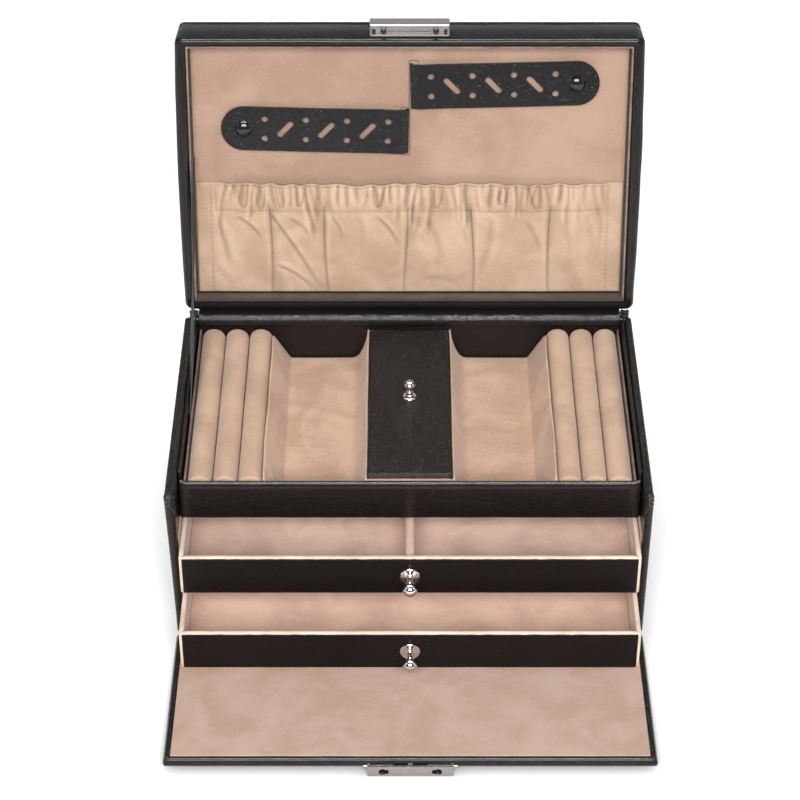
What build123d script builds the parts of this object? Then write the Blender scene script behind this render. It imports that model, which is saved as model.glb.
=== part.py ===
from build123d import *
from math import cos, pi, radians, sin
import os

# Leather jewellery box, in millimetres, standing on Z = 0 and centred on the case.
# The front is at -Y. The lid stands open, the front flap lies flat on the table,
# both drawers are pulled out, and the compartment cover is shut.

# Case
case_width = 264.0
case_depth = 164.6
case_height = 102.0
side_thickness = 4.0
side_crown = 1.6
side_foot_tuck = 1.8
back_thickness = 2.8
base_thickness = 7.3
base_front_radius = 2.0
facing_thickness = 0.7
facing_reach = 14.0

# Drawers
drawer_height = 25.8
drawer_wall = 2.6
drawer_front_thickness = 3.0
drawer_floor = 2.0
drawer_side_gap = 0.5
drawer_lift = 0.6
drawer_headroom = 1.6
shelf_thickness = 5.5
drawer_back_gap = 1.0
divider_width = 5.0
divider_drop = 3.0
lower_pull = 55.8
upper_pull = 31.4
knob_length = 14.0
knob_ball_radius = 4.1
knob_neck_radius = 1.9
rosette_radius = 5.6
rosette_thickness = 1.6

# Tray
panel_thickness = 3.0
panel_recess = 19.9
panel_height = 24.0
tray_floor_thickness = 3.8
tray_wall = 2.1
tray_wall_top_drop = 1.2
tray_end_gap = 0.8
tray_content_top = 96.4
roll_width = 13.8
roll_pitch = 14.0
roll_count = 3
roll_outer_gap = 2.7
roll_round = 6.2
liner_thickness = 1.3
liner_gap = 0.4
liner_outer_inset = 8.5
liner_inner_inset = 4.7
liner_inner_gap = 1.8
liner_curve = 1.2
compartment_half_width = 23.6
compartment_wall = 2.0
cover_thickness = 2.4
cover_rear_gap = 2.4
cover_fold_width = 2.2
cover_knob_height = 10.5
cover_knob_radius = 3.6
cover_knob_base_radius = 4.2
cover_knob_base_height = 1.8
cover_knob_neck = 1.6
cover_knob_y = 11.9

# Lid, drawn shut and then swung open
lid_side_overhang = 0.5
lid_front_overhang = 1.6
lid_frame_depth = 24.5
lid_wall_side = 5.3
lid_wall_front = 4.6
lid_wall_back = 5.3
lid_corner_radius = 3.0
lid_seam = 0.4
lid_cavity = 13.0
lid_strip = 1.2
lid_strip_setback = 1.0
lining_thickness = 1.6
lining_margin = 0.6
lid_pad_height = 6.0
lid_pad_radius = 5.0
lid_hinge_back = 1.2
lid_hinge_rise = 3.3
lid_open_angle = 103.8
hinge_leather_half_width = 125.3
hinge_leather_thickness = 1.2
hinge_leather_drop = 4.6
hinge_leather_start = 6.5
hinge_leather_end = 14.0
hinge_leather_gap = 0.1

# Elastic pocket
pocket_half_width = 124.6
pocket_bottom = 7.6
pocket_casing = 60.0
pocket_top = 76.0
pocket_cloth = 1.2
pocket_room = 6.0
pocket_ruffle = 0.7
pocket_panels = 6
pocket_pleat = 1.3
pocket_side_ramp = 20.0
pocket_foot_rise = 24.0
points_per_panel = 6
elastic_width = 7.0
elastic_thickness = 0.5
elastic_end_gap = 12.0

# Earring straps
strap_width = 26.0
strap_length = 109.0
strap_thickness = 1.8
strap_root = 0.6
strap_height = 1.8
strap_tilt = 1.3
right_strap_station = 134.6
left_strap_station = 107.6
strap_stud_station = 96.0
stud_radius = 5.0
stud_dome = 2.4
stud_stem_radius = 1.9
socket_radius = 4.6
socket_clearance = 0.2
hole_radius = 1.95
hole_columns = (12.4, 36.2, 60.0, 83.8)
hole_row_offset = 5.8
slot_columns = (24.3, 48.1, 71.9)
slot_width = 3.6
slot_length = 16.0
slot_slant = 46.0
tab_thickness = 1.4
slit_margin = 0.2

# Stay strap
stay_width = 11.0
stay_thickness = 0.9
stay_lid_station = 94.0
stay_lid_depth = 7.0
stay_case_y = 2.0
stay_case_z = 90.0
stay_wall_gap = 0.1

# Front flap, drawn flat and then tilted up until it lies on its lock
flap_side_gap = 0.3
flap_length = 100.8
flap_thickness = 4.6
flap_axis_gap = 5.0
flap_axis_z = 0.6
flap_root = 0.4
flap_under = 0.2
flap_tilt = 1.8
flap_rim = 4.1
flap_lining_thickness = 0.9
flap_hinge_half_width = 125.0
flap_hinge_leather = 0.8

# Lock
lock_width = 45.6
lock_sheet = 1.2
lock_reach = 7.2
lid_lock_height = 13.8
lid_lock_offset = 2.4
pin_spacing = 29.6
pin_radius = 1.2
pin_length = 4.4
pin_head_radius = 1.75
pin_head_thickness = 1.0
pin_reach = 4.3
flap_lock_depth = 6.6
flap_lock_under = 3.8
flap_lock_length = 14.0
flap_lock_overhang = 2.7
keyhole_radius = 2.0
keyhole_length = 5.2
keyhole_width = 2.8
catch_overhang = 2.6
catch_inner_x = 9.0
catch_clearance = 0.15
catch_thickness = 1.3
catch_height = 1.8

# Worked out from the sizes above
half_depth = case_depth / 2
half_inner = case_width / 2 - side_thickness
back_inner_y = half_depth - back_thickness
panel_front_y = -half_depth + panel_recess
panel_back_y = panel_front_y + panel_thickness
lower_bottom = base_thickness + drawer_lift
shelf_bottom = lower_bottom + drawer_height + drawer_headroom
upper_bottom = shelf_bottom + shelf_thickness + drawer_lift
tray_bottom = upper_bottom + drawer_height + drawer_headroom
tray_top = tray_bottom + tray_floor_thickness
drawer_half = half_inner - facing_thickness - drawer_side_gap
tray_front_y = panel_back_y + tray_end_gap
tray_rear_y = back_inner_y - tray_end_gap
tray_inner_half = half_inner - tray_wall
roll_outer_x = tray_inner_half - roll_outer_gap
roll_inner_x = roll_outer_x - roll_count * roll_pitch
liner_outer_top = roll_inner_x - liner_gap
liner_inner_top = compartment_half_width + liner_inner_gap
lid_width = case_width + 2 * lid_side_overhang
lid_length = case_depth + lid_front_overhang
lid_back_y = half_depth
lid_hinge_y = half_depth + lid_hinge_back
rim_z = case_height + lid_seam
lining_depth = lid_cavity
top_board_depth = lining_depth + lining_thickness
strap_back = lid_cavity - strap_height
strap_front = strap_back - strap_thickness
lid_front_y = lid_back_y - lid_length
flap_width = case_width - 2 * flap_side_gap
flap_axis_y = -half_depth - flap_axis_gap
flap_tip = flap_root + flap_length
flap_top = flap_under + flap_thickness
lock_half = lock_width / 2

os.makedirs("parts", exist_ok=True)


def save(name, shape):
    """Write one named piece."""
    export_step(shape, "parts/" + name + ".step")


def slab(x0, x1, y0, y1, z0, z1):
    """A block between two corners."""
    size = Box(x1 - x0, y1 - y0, z1 - z0)
    return Pos((x0 + x1) / 2, (y0 + y1) / 2, (z0 + z1) / 2) * size


def prism_x(points, x0, x1):
    """An outline in Y and Z, drawn out from x0 to x1."""
    plane = Plane(origin=(x0, 0, 0), x_dir=(0, 1, 0), z_dir=(1, 0, 0))
    return extrude(plane * make_face(Polyline(*points, close=True)), x1 - x0)


def rod(x, y, z, radius, length, direction):
    """A round bar from a point along a direction."""
    plane = Plane(origin=(x, y, z), z_dir=direction)
    return extrude(plane * Circle(radius), length)


def top_edges(shape):
    """The edges that lie in a shape's highest plane."""
    return shape.edges().group_by(Axis.Z)[-1]


def mirrored(shape):
    """The same piece on the other side of the case."""
    return mirror(shape, about=Plane.YZ)


def opened(shape):
    """Swing a lid piece from its shut place to the open one."""
    axis = Axis((0, lid_hinge_y, case_height + lid_hinge_rise), (1, 0, 0))
    return shape.rotate(axis, -lid_open_angle)


def lid_slab(x0, x1, s0, s1, t0, t1):
    """A block in the shut lid: s runs from the hinge edge, t up from the rim."""
    return slab(x0, x1, lid_back_y - s1, lid_back_y - s0, rim_z + t0, rim_z + t1)


# The case: base, side panels with a soft outer crown, back and drawer shelf


def case_base():
    board = slab(-half_inner, half_inner, -half_depth, back_inner_y, 0, base_thickness)
    front_bottom = board.edges().filter_by(Axis.X).group_by(Axis.Y)[0].sort_by(Axis.Z)[0]
    return fillet(front_bottom, base_front_radius)


def case_side():
    outer = case_width / 2
    foot = outer - side_foot_tuck
    inner = outer - side_thickness
    skin = ThreePointArc((outer, case_height), (outer + side_crown, case_height * 0.52), (foot, 0))
    rest = Polyline((foot, 0), (inner, 0), (inner, case_height), (outer, case_height))
    outline = make_face(skin + rest)
    plane = Plane(origin=(0, half_depth, 0), x_dir=(1, 0, 0), z_dir=(0, -1, 0))
    return extrude(plane * outline, case_depth)


def case_back():
    return slab(-half_inner, half_inner, back_inner_y, half_depth, 0, case_height)


def side_facing():
    return slab(
        half_inner - facing_thickness, half_inner, panel_front_y - facing_reach, back_inner_y,
        base_thickness, tray_bottom,
    )


def drawer_shelf():
    reach = half_inner - facing_thickness
    return slab(-reach, reach, panel_front_y, back_inner_y, shelf_bottom, shelf_bottom + shelf_thickness)


right_side = case_side()
right_facing = side_facing()
save("case_base", case_base())
save("case_right_side", right_side)
save("case_left_side", mirrored(right_side))
save("case_back", case_back())
save("right_bay_facing", right_facing)
save("left_bay_facing", mirrored(right_facing))
save("drawer_shelf", drawer_shelf())

# The tray: floor, front panel, side walls, ring rolls and suede troughs


def tray_floor():
    return slab(-half_inner, half_inner, panel_back_y, back_inner_y, tray_bottom, tray_top)


def tray_front_panel():
    top = tray_bottom + panel_height
    panel = slab(-half_inner, half_inner, panel_front_y, panel_back_y, tray_bottom, top)
    return fillet(top_edges(panel).filter_by(Axis.X), panel_thickness * 0.35)


def tray_side_wall():
    return slab(
        tray_inner_half, half_inner, panel_back_y, back_inner_y,
        tray_top, case_height - tray_wall_top_drop,
    )


def ring_roll(index):
    x1 = roll_outer_x - index * roll_pitch
    roll = slab(x1 - roll_width, x1, tray_front_y, tray_rear_y, tray_top, tray_content_top)
    roll = fillet(top_edges(roll).filter_by(Axis.Y), roll_round)
    return fillet(top_edges(roll).filter_by(Axis.X), 2.0)


def tray_liner():
    """A trough: a slanted outer wall, a flat floor and a curved inner wall."""
    top = tray_content_top
    floor_top = tray_top + liner_thickness
    outer_x = liner_outer_top - liner_thickness
    inner_x = liner_inner_top + liner_thickness
    inner_foot = (inner_x + liner_inner_inset, floor_top)
    upper = Polyline((outer_x, top), (outer_x - liner_outer_inset, floor_top), inner_foot)
    bend = (inner_x + liner_curve, tray_top + (top - tray_top) * 0.36)
    curve = ThreePointArc(inner_foot, bend, (inner_x, top))
    under = Polyline(
        (inner_x, top), (liner_inner_top, top), (liner_inner_top, tray_top), (liner_outer_top, tray_top),
        (liner_outer_top, top), (outer_x, top),
    )
    plane = Plane(origin=(0, tray_rear_y, 0), x_dir=(1, 0, 0), z_dir=(0, -1, 0))
    return extrude(plane * make_face(upper + curve + under), tray_rear_y - tray_front_y)


right_wall = tray_side_wall()
right_liner = tray_liner()
save("tray_floor", tray_floor())
save("tray_front_panel", tray_front_panel())
save("tray_right_wall", right_wall)
save("tray_left_wall", mirrored(right_wall))
for index in range(roll_count):
    roll = ring_roll(index)
    save(f"right_ring_roll_{index + 1}", roll)
    save(f"left_ring_roll_{index + 1}", mirrored(roll))
save("right_tray_liner", right_liner)
save("left_tray_liner", mirrored(right_liner))

# The centre compartment with its knobbed cover, hinged on a leather fold at the front

cover_bottom = tray_content_top - cover_thickness
cover_front_y = tray_front_y + cover_fold_width
cover_rear_y = tray_rear_y - cover_rear_gap


def compartment_box():
    half = compartment_half_width
    outer = slab(-half, half, tray_front_y, tray_rear_y, tray_top, cover_bottom)
    hollow = slab(
        -half + compartment_wall, half - compartment_wall,
        tray_front_y + compartment_wall, tray_rear_y - compartment_wall, tray_top, cover_bottom,
    )
    return outer - hollow


def compartment_cover():
    half = compartment_half_width
    cover = slab(-half, half, cover_front_y, cover_rear_y, cover_bottom + 0.1, tray_content_top)
    return fillet(top_edges(cover), 0.7)


def cover_fold():
    half = compartment_half_width
    return slab(-half, half, tray_front_y, cover_front_y - 0.2, cover_bottom, tray_content_top - 0.4)


def turned(profile):
    """A round piece about Z from an outline of radius and height."""
    return revolve(Plane.XZ * make_face(Polyline(*profile, close=True)), Axis.Z)


def cover_knob_base():
    radius = cover_knob_base_radius
    height = cover_knob_base_height
    profile = ((0, 0), (radius, 0), (radius, height * 0.45), (radius * 0.57, height), (0, height))
    return Pos(0, cover_knob_y, tray_content_top) * turned(profile)


def cover_knob():
    centre = cover_knob_height - cover_knob_radius
    stem = rod(0, 0, cover_knob_base_height, cover_knob_neck, centre - cover_knob_base_height, (0, 0, 1))
    head = Pos(0, 0, centre) * Sphere(cover_knob_radius)
    return Pos(0, cover_knob_y, tray_content_top) * (stem + head)


save("compartment_box", compartment_box())
save("compartment_cover", compartment_cover())
save("compartment_cover_fold", cover_fold())
save("compartment_knob_base", cover_knob_base())
save("compartment_knob", cover_knob())

# The drawers: front, one strip bent round three sides, floor, knob and rosette

drawer_rear_y = back_inner_y - drawer_back_gap


def drawer_front(bottom, front_y):
    y1 = front_y + drawer_front_thickness
    front = slab(-drawer_half, drawer_half, front_y, y1, bottom, bottom + drawer_height)
    return fillet(top_edges(front).filter_by(Axis.X), 0.8)


def drawer_walls(bottom, front_y, pull):
    y0 = front_y + drawer_front_thickness
    y1 = drawer_rear_y - pull
    outer = slab(-drawer_half, drawer_half, y0, y1, bottom, bottom + drawer_height)
    inner = drawer_half - drawer_wall
    hollow = slab(-inner, inner, y0, y1 - drawer_wall, bottom, bottom + drawer_height)
    return outer - hollow


def drawer_bottom(bottom, front_y, pull):
    inner = drawer_half - drawer_wall
    y0 = front_y + drawer_front_thickness
    return slab(-inner, inner, y0, drawer_rear_y - pull - drawer_wall, bottom, bottom + drawer_floor)


def drawer_divider(bottom, front_y, pull):
    half = divider_width / 2
    y0 = front_y + drawer_front_thickness
    y1 = drawer_rear_y - pull - drawer_wall
    divider = slab(
        -half, half, y0, y1, bottom + drawer_floor, bottom + drawer_height - divider_drop
    )
    return fillet(top_edges(divider).filter_by(Axis.Y), half * 0.8)


def rosette(centre_z, front_y):
    profile = (
        (0, 0), (rosette_radius, 0), (rosette_radius, rosette_thickness * 0.5),
        (rosette_radius * 0.7, rosette_thickness), (0, rosette_thickness),
    )
    return Pos(0, front_y, centre_z) * (Rot(90, 0, 0) * turned(profile))


def drawer_knob(centre_z, front_y):
    reach = knob_length - knob_ball_radius
    y0 = front_y - rosette_thickness
    stem = rod(0, y0, centre_z, knob_neck_radius, reach - rosette_thickness, (0, -1, 0))
    return stem + Pos(0, front_y - reach, centre_z) * Sphere(knob_ball_radius)


for name, bottom, pull in (("upper", upper_bottom, upper_pull), ("lower", lower_bottom, lower_pull)):
    front_y = panel_front_y - pull
    centre_z = bottom + drawer_height / 2
    save(name + "_drawer_front", drawer_front(bottom, front_y))
    save(name + "_drawer_walls", drawer_walls(bottom, front_y, pull))
    save(name + "_drawer_floor", drawer_bottom(bottom, front_y, pull))
    save(name + "_drawer_rosette", rosette(centre_z, front_y))
    save(name + "_drawer_knob", drawer_knob(centre_z, front_y))
save("upper_drawer_divider", drawer_divider(upper_bottom, panel_front_y - upper_pull, upper_pull))

# The lid: frame, padded top, suede strip and lining


def lid_frame():
    half = lid_width / 2
    outer = lid_slab(-half, half, 0, lid_length, 0, lid_frame_depth)
    outer = fillet(outer.edges().filter_by(Axis.Z), lid_corner_radius)
    return outer - lid_slab(
        -half + lid_wall_side, half - lid_wall_side, lid_wall_back, lid_length - lid_wall_front,
        0, lid_frame_depth,
    )


def lid_inside(margin, t0, t1):
    """A block that fills the lid's frame, less a margin all round."""
    half = lid_width / 2 - lid_wall_side - margin
    return lid_slab(-half, half, lid_wall_back + margin, lid_length - lid_wall_front - margin, t0, t1)


def lid_padding():
    half = lid_width / 2
    pad = lid_slab(-half, half, 0, lid_length, lid_frame_depth, lid_frame_depth + lid_pad_height)
    pad = fillet(pad.edges().filter_by(Axis.Z), lid_corner_radius)
    return fillet(top_edges(pad), lid_pad_radius)


def on_lid(shape, station, side):
    """Put a strap piece at its station in the shut lid, tilted up towards its free end."""
    tilted = Rot(0, 0, -strap_tilt) * shape
    if side < 0:
        tilted = mirrored(tilted)
    return Pos(0, lid_back_y - station, 0) * tilted


def slit():
    """The slot in the lining that a strap root passes through."""
    half = strap_width / 2 + slit_margin
    x1 = strap_root + tab_thickness + slit_margin
    z0 = rim_z + lining_depth
    return slab(strap_root - slit_margin, x1, -half, half, z0, z0 + lining_thickness)


def lid_lining():
    panel = lid_inside(lid_strip + lining_margin, lining_depth, lining_depth + lining_thickness)
    return panel - on_lid(slit(), right_strap_station, 1) - on_lid(slit(), left_strap_station, -1)


def lid_edge_strip():
    """The suede strip round the inside of the frame, set back from the rim."""
    strip = lid_inside(0, lid_strip_setback, top_board_depth)
    return strip - lid_inside(lid_strip, lid_strip_setback, top_board_depth)


save("lid_frame", opened(lid_frame()))
save("lid_top_board", opened(lid_inside(0, top_board_depth, lid_frame_depth)))
save("lid_padding", opened(lid_padding()))
save("lid_edge_strip", opened(lid_edge_strip()))
save("lid_lining", opened(lid_lining()))

# The elastic pocket: a ruled loft through wavy outlines, flat at its sewn foot


def pocket_depth(x, billow, ruffle):
    """Distance of the cloth from the lining at x: a billow with a pleat between panels."""
    share = (x + pocket_half_width) / (2 * pocket_half_width)
    seam = pocket_half_width - abs(x)
    edge = min(1.0, seam / pocket_side_ramp)
    fold = abs(cos(pi * pocket_panels * share))
    pleat = pocket_pleat * fold * (billow > 0)
    return edge * (billow - pleat) + ruffle * cos(2 * pi * 3 * pocket_panels * share)


def pocket_outline(station, billow, ruffle):
    count = pocket_panels * points_per_panel
    xs = [-pocket_half_width + 2 * pocket_half_width * i / count for i in range(count + 1)]
    y = lid_back_y - station
    base = rim_z + lining_depth
    near = [(x, y, base - max(0.0, pocket_depth(x, billow, ruffle))) for x in xs]
    far = [(x, y, z - pocket_cloth) for x, y, z in reversed(near)]
    return make_face(Polyline(*near, *far, close=True))


def elastic_pocket():
    sections = [
        pocket_outline(pocket_bottom, 0.0, 0.0),
        pocket_outline(pocket_bottom + pocket_foot_rise, pocket_room, 0.0),
        pocket_outline(pocket_casing, pocket_room, 0.2), pocket_outline(pocket_top, pocket_room, pocket_ruffle),
    ]
    return loft(sections, ruled=True)


def pocket_elastic():
    """The flat elastic lies just behind the casing."""
    top = rim_z + lining_depth
    half = pocket_half_width - elastic_end_gap
    return slab(
        -half, half, lid_back_y - pocket_casing - elastic_width, lid_back_y - pocket_casing,
        top - elastic_thickness, top,
    )


save("elastic_pocket", opened(elastic_pocket()))
save("pocket_elastic", opened(pocket_elastic()))

# The earring straps: holes in pairs, slanted slots, a press stud and a folded root


def strap_plate():
    """A flat strap with a round end, its holes and slots cut through."""
    end_x = strap_length - strap_width / 2
    z0 = rim_z + strap_front
    z1 = rim_z + strap_back
    body = slab(strap_root, end_x, -strap_width / 2, strap_width / 2, z0, z1)
    body += rod(end_x, 0, z0, strap_width / 2, strap_thickness, (0, 0, 1))
    for column in hole_columns:
        for row in (-hole_row_offset, hole_row_offset):
            body -= rod(column, row, z0, hole_radius, strap_thickness, (0, 0, 1))
    for column in slot_columns:
        slot = SlotOverall(slot_length - slot_width, slot_width)
        cut = extrude(Rot(0, 0, slot_slant) * slot, strap_thickness)
        body -= Pos(column, 0, z0) * cut
    return body - rod(strap_stud_station, 0, z0, stud_stem_radius, strap_thickness, (0, 0, 1))


def strap_stud():
    z0 = rim_z + strap_front
    height = stud_dome
    ball = (stud_radius**2 + height**2) / (2 * height)
    dome = Pos(strap_stud_station, 0, z0 - height + ball) * Sphere(ball)
    reach = 2 * stud_radius
    x0 = strap_stud_station - reach
    dome &= slab(x0, strap_stud_station + reach, -reach, reach, z0 - height - 1, z0)
    stem_length = strap_thickness + strap_height - 0.3
    return dome + rod(strap_stud_station, 0, z0, stud_stem_radius, stem_length, (0, 0, 1))


def strap_socket():
    z0 = rim_z + strap_back
    bore = stud_stem_radius + socket_clearance
    socket = rod(strap_stud_station, 0, z0, socket_radius, strap_height, (0, 0, 1))
    return socket - rod(strap_stud_station, 0, z0, bore, strap_height, (0, 0, 1))


def strap_tab():
    """The strap's root, which goes back through the slit to the board."""
    half = strap_width / 2
    z0 = rim_z + strap_back + 0.1
    return slab(strap_root, strap_root + tab_thickness, -half, half, z0, rim_z + top_board_depth)


sockets = []
for name, station, side in (("right", right_strap_station, 1), ("left", left_strap_station, -1)):
    save(name + "_earring_strap", opened(on_lid(strap_plate(), station, side)))
    save(name + "_strap_stud", opened(on_lid(strap_stud(), station, side)))
    save(name + "_strap_root", opened(on_lid(strap_tab(), station, side)))
    sockets.append(opened(on_lid(strap_socket(), station, side)).solid())
save("strap_sockets", Compound(children=sockets))

# The leather that joins the lid to the case, and the strap that holds the lid up


def opened_point(station, depth):
    """Where a point of the shut lid, seen from the side, lies when the lid is open."""
    turn = radians(-lid_open_angle)
    axis_z = case_height + lid_hinge_rise
    y = lid_back_y - station - lid_hinge_y
    z = rim_z + depth - axis_z
    return lid_hinge_y + y * cos(turn) - z * sin(turn), axis_z + y * sin(turn) + z * cos(turn)


def lid_hinge_leather():
    """A folded strip: over the back panel's top edge and along the lid's back wall."""
    half = hinge_leather_thickness / 2
    away = half + hinge_leather_gap
    inner = back_inner_y - away
    top = case_height + away
    back_wall = [opened_point(-away, depth) for depth in (hinge_leather_start, hinge_leather_end)]
    foot = (inner, case_height - hinge_leather_drop)
    path = Polyline(foot, (inner, top), (half_depth - 2 * hinge_leather_gap, top), *back_wall)
    outline = make_face(offset(path, amount=half, side=Side.BOTH, closed=True, kind=Kind.INTERSECTION))
    plane = Plane(origin=(-hinge_leather_half_width, 0, 0), x_dir=(0, 1, 0), z_dir=(1, 0, 0))
    return extrude(plane * outline, 2 * hinge_leather_half_width)


def lid_stay():
    """A flat strap, taut from the lid's left wall to the tray's left wall."""
    y0, z0 = stay_case_y, stay_case_z
    y1, z1 = opened_point(stay_lid_station, stay_lid_depth)
    length = ((y1 - y0) ** 2 + (z1 - z0) ** 2) ** 0.5
    across_y = -(z1 - z0) / length * stay_width / 2
    across_z = (y1 - y0) / length * stay_width / 2
    outline = (
        (y0 + across_y, z0 + across_z), (y0 - across_y, z0 - across_z),
        (y1 - across_y, z1 - across_z), (y1 + across_y, z1 + across_z),
    )
    x0 = -tray_inner_half + stay_wall_gap
    return prism_x(outline, x0, x0 + stay_thickness)


save("lid_hinge_leather", lid_hinge_leather())
save("lid_stay_strap", lid_stay())

# The front flap: board, suede lining and the leather that hinges it to the base


def flap_slab(x0, x1, r0, r1, h0, h1):
    """A block in the flat flap: r runs from the hinge, h up from it."""
    return slab(x0, x1, flap_axis_y - r1, flap_axis_y - r0, flap_axis_z + h0, flap_axis_z + h1)


def laid(shape):
    """Tilt a flap piece about its hinge until it rests on its lock."""
    return shape.rotate(Axis((0, flap_axis_y, flap_axis_z), (1, 0, 0)), -flap_tilt)


def flap_lining():
    half = flap_width / 2 - flap_rim
    return flap_slab(
        -half, half, flap_root + flap_rim, flap_tip - flap_rim, flap_top - flap_lining_thickness, flap_top
    )


def flap_board():
    half = flap_width / 2
    board = flap_slab(-half, half, flap_root, flap_tip, flap_under, flap_top)
    board = fillet(board.edges().filter_by(Axis.Z), 1.5)
    return board - flap_lining()


def flap_hinge():
    half = flap_hinge_half_width
    y0 = flap_axis_y - flap_root
    return slab(-half, half, y0 + 0.05, -half_depth - 0.05, 0.3, 0.3 + flap_hinge_leather)


save("flap_board", laid(flap_board()))
save("flap_lining", laid(flap_lining()))
save("flap_hinge_leather", flap_hinge())

# The lock: a hood with two pins on the lid, a keyhole housing with two catches on the flap

pin_y = lid_front_y - pin_reach
lock_front_tip = flap_tip + flap_lock_overhang
keyhole_h = pin_y - flap_axis_y


def lid_lock_housing():
    z0 = rim_z + lid_lock_offset
    y0 = lid_front_y - lock_reach
    outer = slab(-lock_half, lock_half, y0, lid_front_y, z0, z0 + lid_lock_height)
    outer = fillet(outer.edges().filter_by(Axis.X).group_by(Axis.Y)[0], 0.5)
    hollow = slab(
        -lock_half + lock_sheet, lock_half - lock_sheet, y0 + lock_sheet, lid_front_y,
        z0 + lock_sheet, z0 + lid_lock_height - lock_sheet,
    )
    return outer - hollow


def lid_lock_pins():
    """Two headed pins, riveted in the housing's underside."""
    z0 = rim_z + lid_lock_offset
    pins = []
    for x in (-pin_spacing / 2, pin_spacing / 2):
        stem = rod(x, pin_y, z0, pin_radius, pin_length, (0, 0, -1))
        head = rod(x, pin_y, z0 - pin_length, pin_head_radius, pin_head_thickness, (0, 0, 1))
        pins.append(opened(stem + head).solid())
    return Compound(children=pins)


def keyhole(side):
    """The opening that one pin enters: round outside, narrower towards the middle."""
    x = side * pin_spacing / 2
    y = flap_axis_y - lock_front_tip
    z = flap_axis_z + keyhole_h
    hole = rod(x, y, z, keyhole_radius, lock_sheet, (0, 1, 0))
    x1 = x - side * (keyhole_length - keyhole_radius)
    half = keyhole_width / 2
    return hole + slab(min(x, x1), max(x, x1), y, y + lock_sheet, z - half, z + half)


def catch_bar(side, gap):
    """One sliding catch, or with a gap the room that it needs."""
    x0 = catch_inner_x - gap
    x1 = lock_half + catch_overhang + gap
    top = flap_lock_depth - flap_lock_under - 0.4
    r0 = flap_tip + 0.2
    bar = flap_slab(
        x0, x1, r0 - gap, r0 + catch_thickness + gap, top - catch_height - gap, top + gap
    )
    return bar if side > 0 else mirrored(bar)


def flap_lock_housing():
    """A sheet box on the flap's outer face, its keyhole plate bent up past the flap's edge."""
    low = -flap_lock_under
    high = flap_lock_depth - flap_lock_under
    back = lock_front_tip - flap_lock_length
    plate = lock_front_tip - lock_sheet
    box = flap_slab(-lock_half, lock_half, back, lock_front_tip, low, flap_under)
    box += flap_slab(-lock_half, lock_half, flap_tip, lock_front_tip, flap_under, high)
    inside = lock_half - lock_sheet
    box -= flap_slab(-inside, inside, back + lock_sheet, plate, low + lock_sheet, flap_under)
    box -= flap_slab(-inside, inside, flap_tip, plate, flap_under, high)
    box += flap_slab(-lock_sheet, lock_sheet, flap_tip, plate, low + lock_sheet, high)
    for side in (-1, 1):
        box = box - keyhole(side) - catch_bar(side, catch_clearance)
    return box


save("lid_lock_housing", opened(lid_lock_housing()))
save("lid_lock_pins", lid_lock_pins())
save("flap_lock_housing", laid(flap_lock_housing()))
save("right_lock_catch", laid(catch_bar(1, 0.0)))
save("left_lock_catch", laid(catch_bar(-1, 0.0)))
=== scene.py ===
import math
import bmesh
import bpy
import numpy as np
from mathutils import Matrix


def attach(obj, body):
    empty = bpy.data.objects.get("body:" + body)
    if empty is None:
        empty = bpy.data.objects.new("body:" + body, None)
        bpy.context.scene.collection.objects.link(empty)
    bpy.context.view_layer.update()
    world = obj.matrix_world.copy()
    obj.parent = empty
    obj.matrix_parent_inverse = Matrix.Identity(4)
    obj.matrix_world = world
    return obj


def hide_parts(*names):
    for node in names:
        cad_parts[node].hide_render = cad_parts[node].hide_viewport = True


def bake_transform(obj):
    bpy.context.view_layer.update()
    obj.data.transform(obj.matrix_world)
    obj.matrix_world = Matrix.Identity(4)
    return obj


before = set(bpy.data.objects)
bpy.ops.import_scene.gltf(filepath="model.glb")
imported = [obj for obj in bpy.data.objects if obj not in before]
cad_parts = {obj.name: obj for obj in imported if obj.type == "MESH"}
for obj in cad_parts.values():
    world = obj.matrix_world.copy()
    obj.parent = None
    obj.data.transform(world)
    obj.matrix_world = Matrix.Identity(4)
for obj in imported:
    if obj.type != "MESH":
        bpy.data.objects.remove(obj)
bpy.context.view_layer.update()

# The case: side panels, back and base
# Stiff board covered in thin black leather, which is turned over every edge and glued down.
# The side panels swell a little outwards and their front edges are left open for the drawers.

side_inner = 128.0
side_thick = 4.0
half_depth = 82.3
back_inner = 79.5
case_top = 102.0


def spaced(low, high, radius, count, bend=4):
    """Places along one edge of a block: by the tangent of even angles in the rounded ends, even between them."""
    end = radius * np.tan(np.linspace(0.0, math.pi / 4, bend + 1))
    middle = np.linspace(low + radius, high - radius, count + 1)
    return np.unique(np.round(np.concatenate([low + radius - end, middle, high - radius + end]), 5))


def grid_faces(i):
    """The four-sided faces of a grid, from the numbers of its points."""
    return np.stack([i[:-1, :-1], i[1:, :-1], i[1:, 1:], i[:-1, 1:]], -1).reshape(-1, 4)


def tube_faces(n, m):
    """The numbers of the points of n rings with m points each, and the faces between the rings."""
    i = np.arange(n * m).reshape(n, m)
    nxt = np.roll(i, -1, 1)
    return i, np.stack([i[:-1], nxt[:-1], nxt[1:], i[1:]], -1).reshape(-1, 4)


def closed_tube(points, n, m):
    """A tube through n rings with m points each, with flat ends."""
    i, faces = tube_faces(n, m)
    return points, faces.tolist() + [i[0][::-1].tolist(), i[-1].tolist()]


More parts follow.
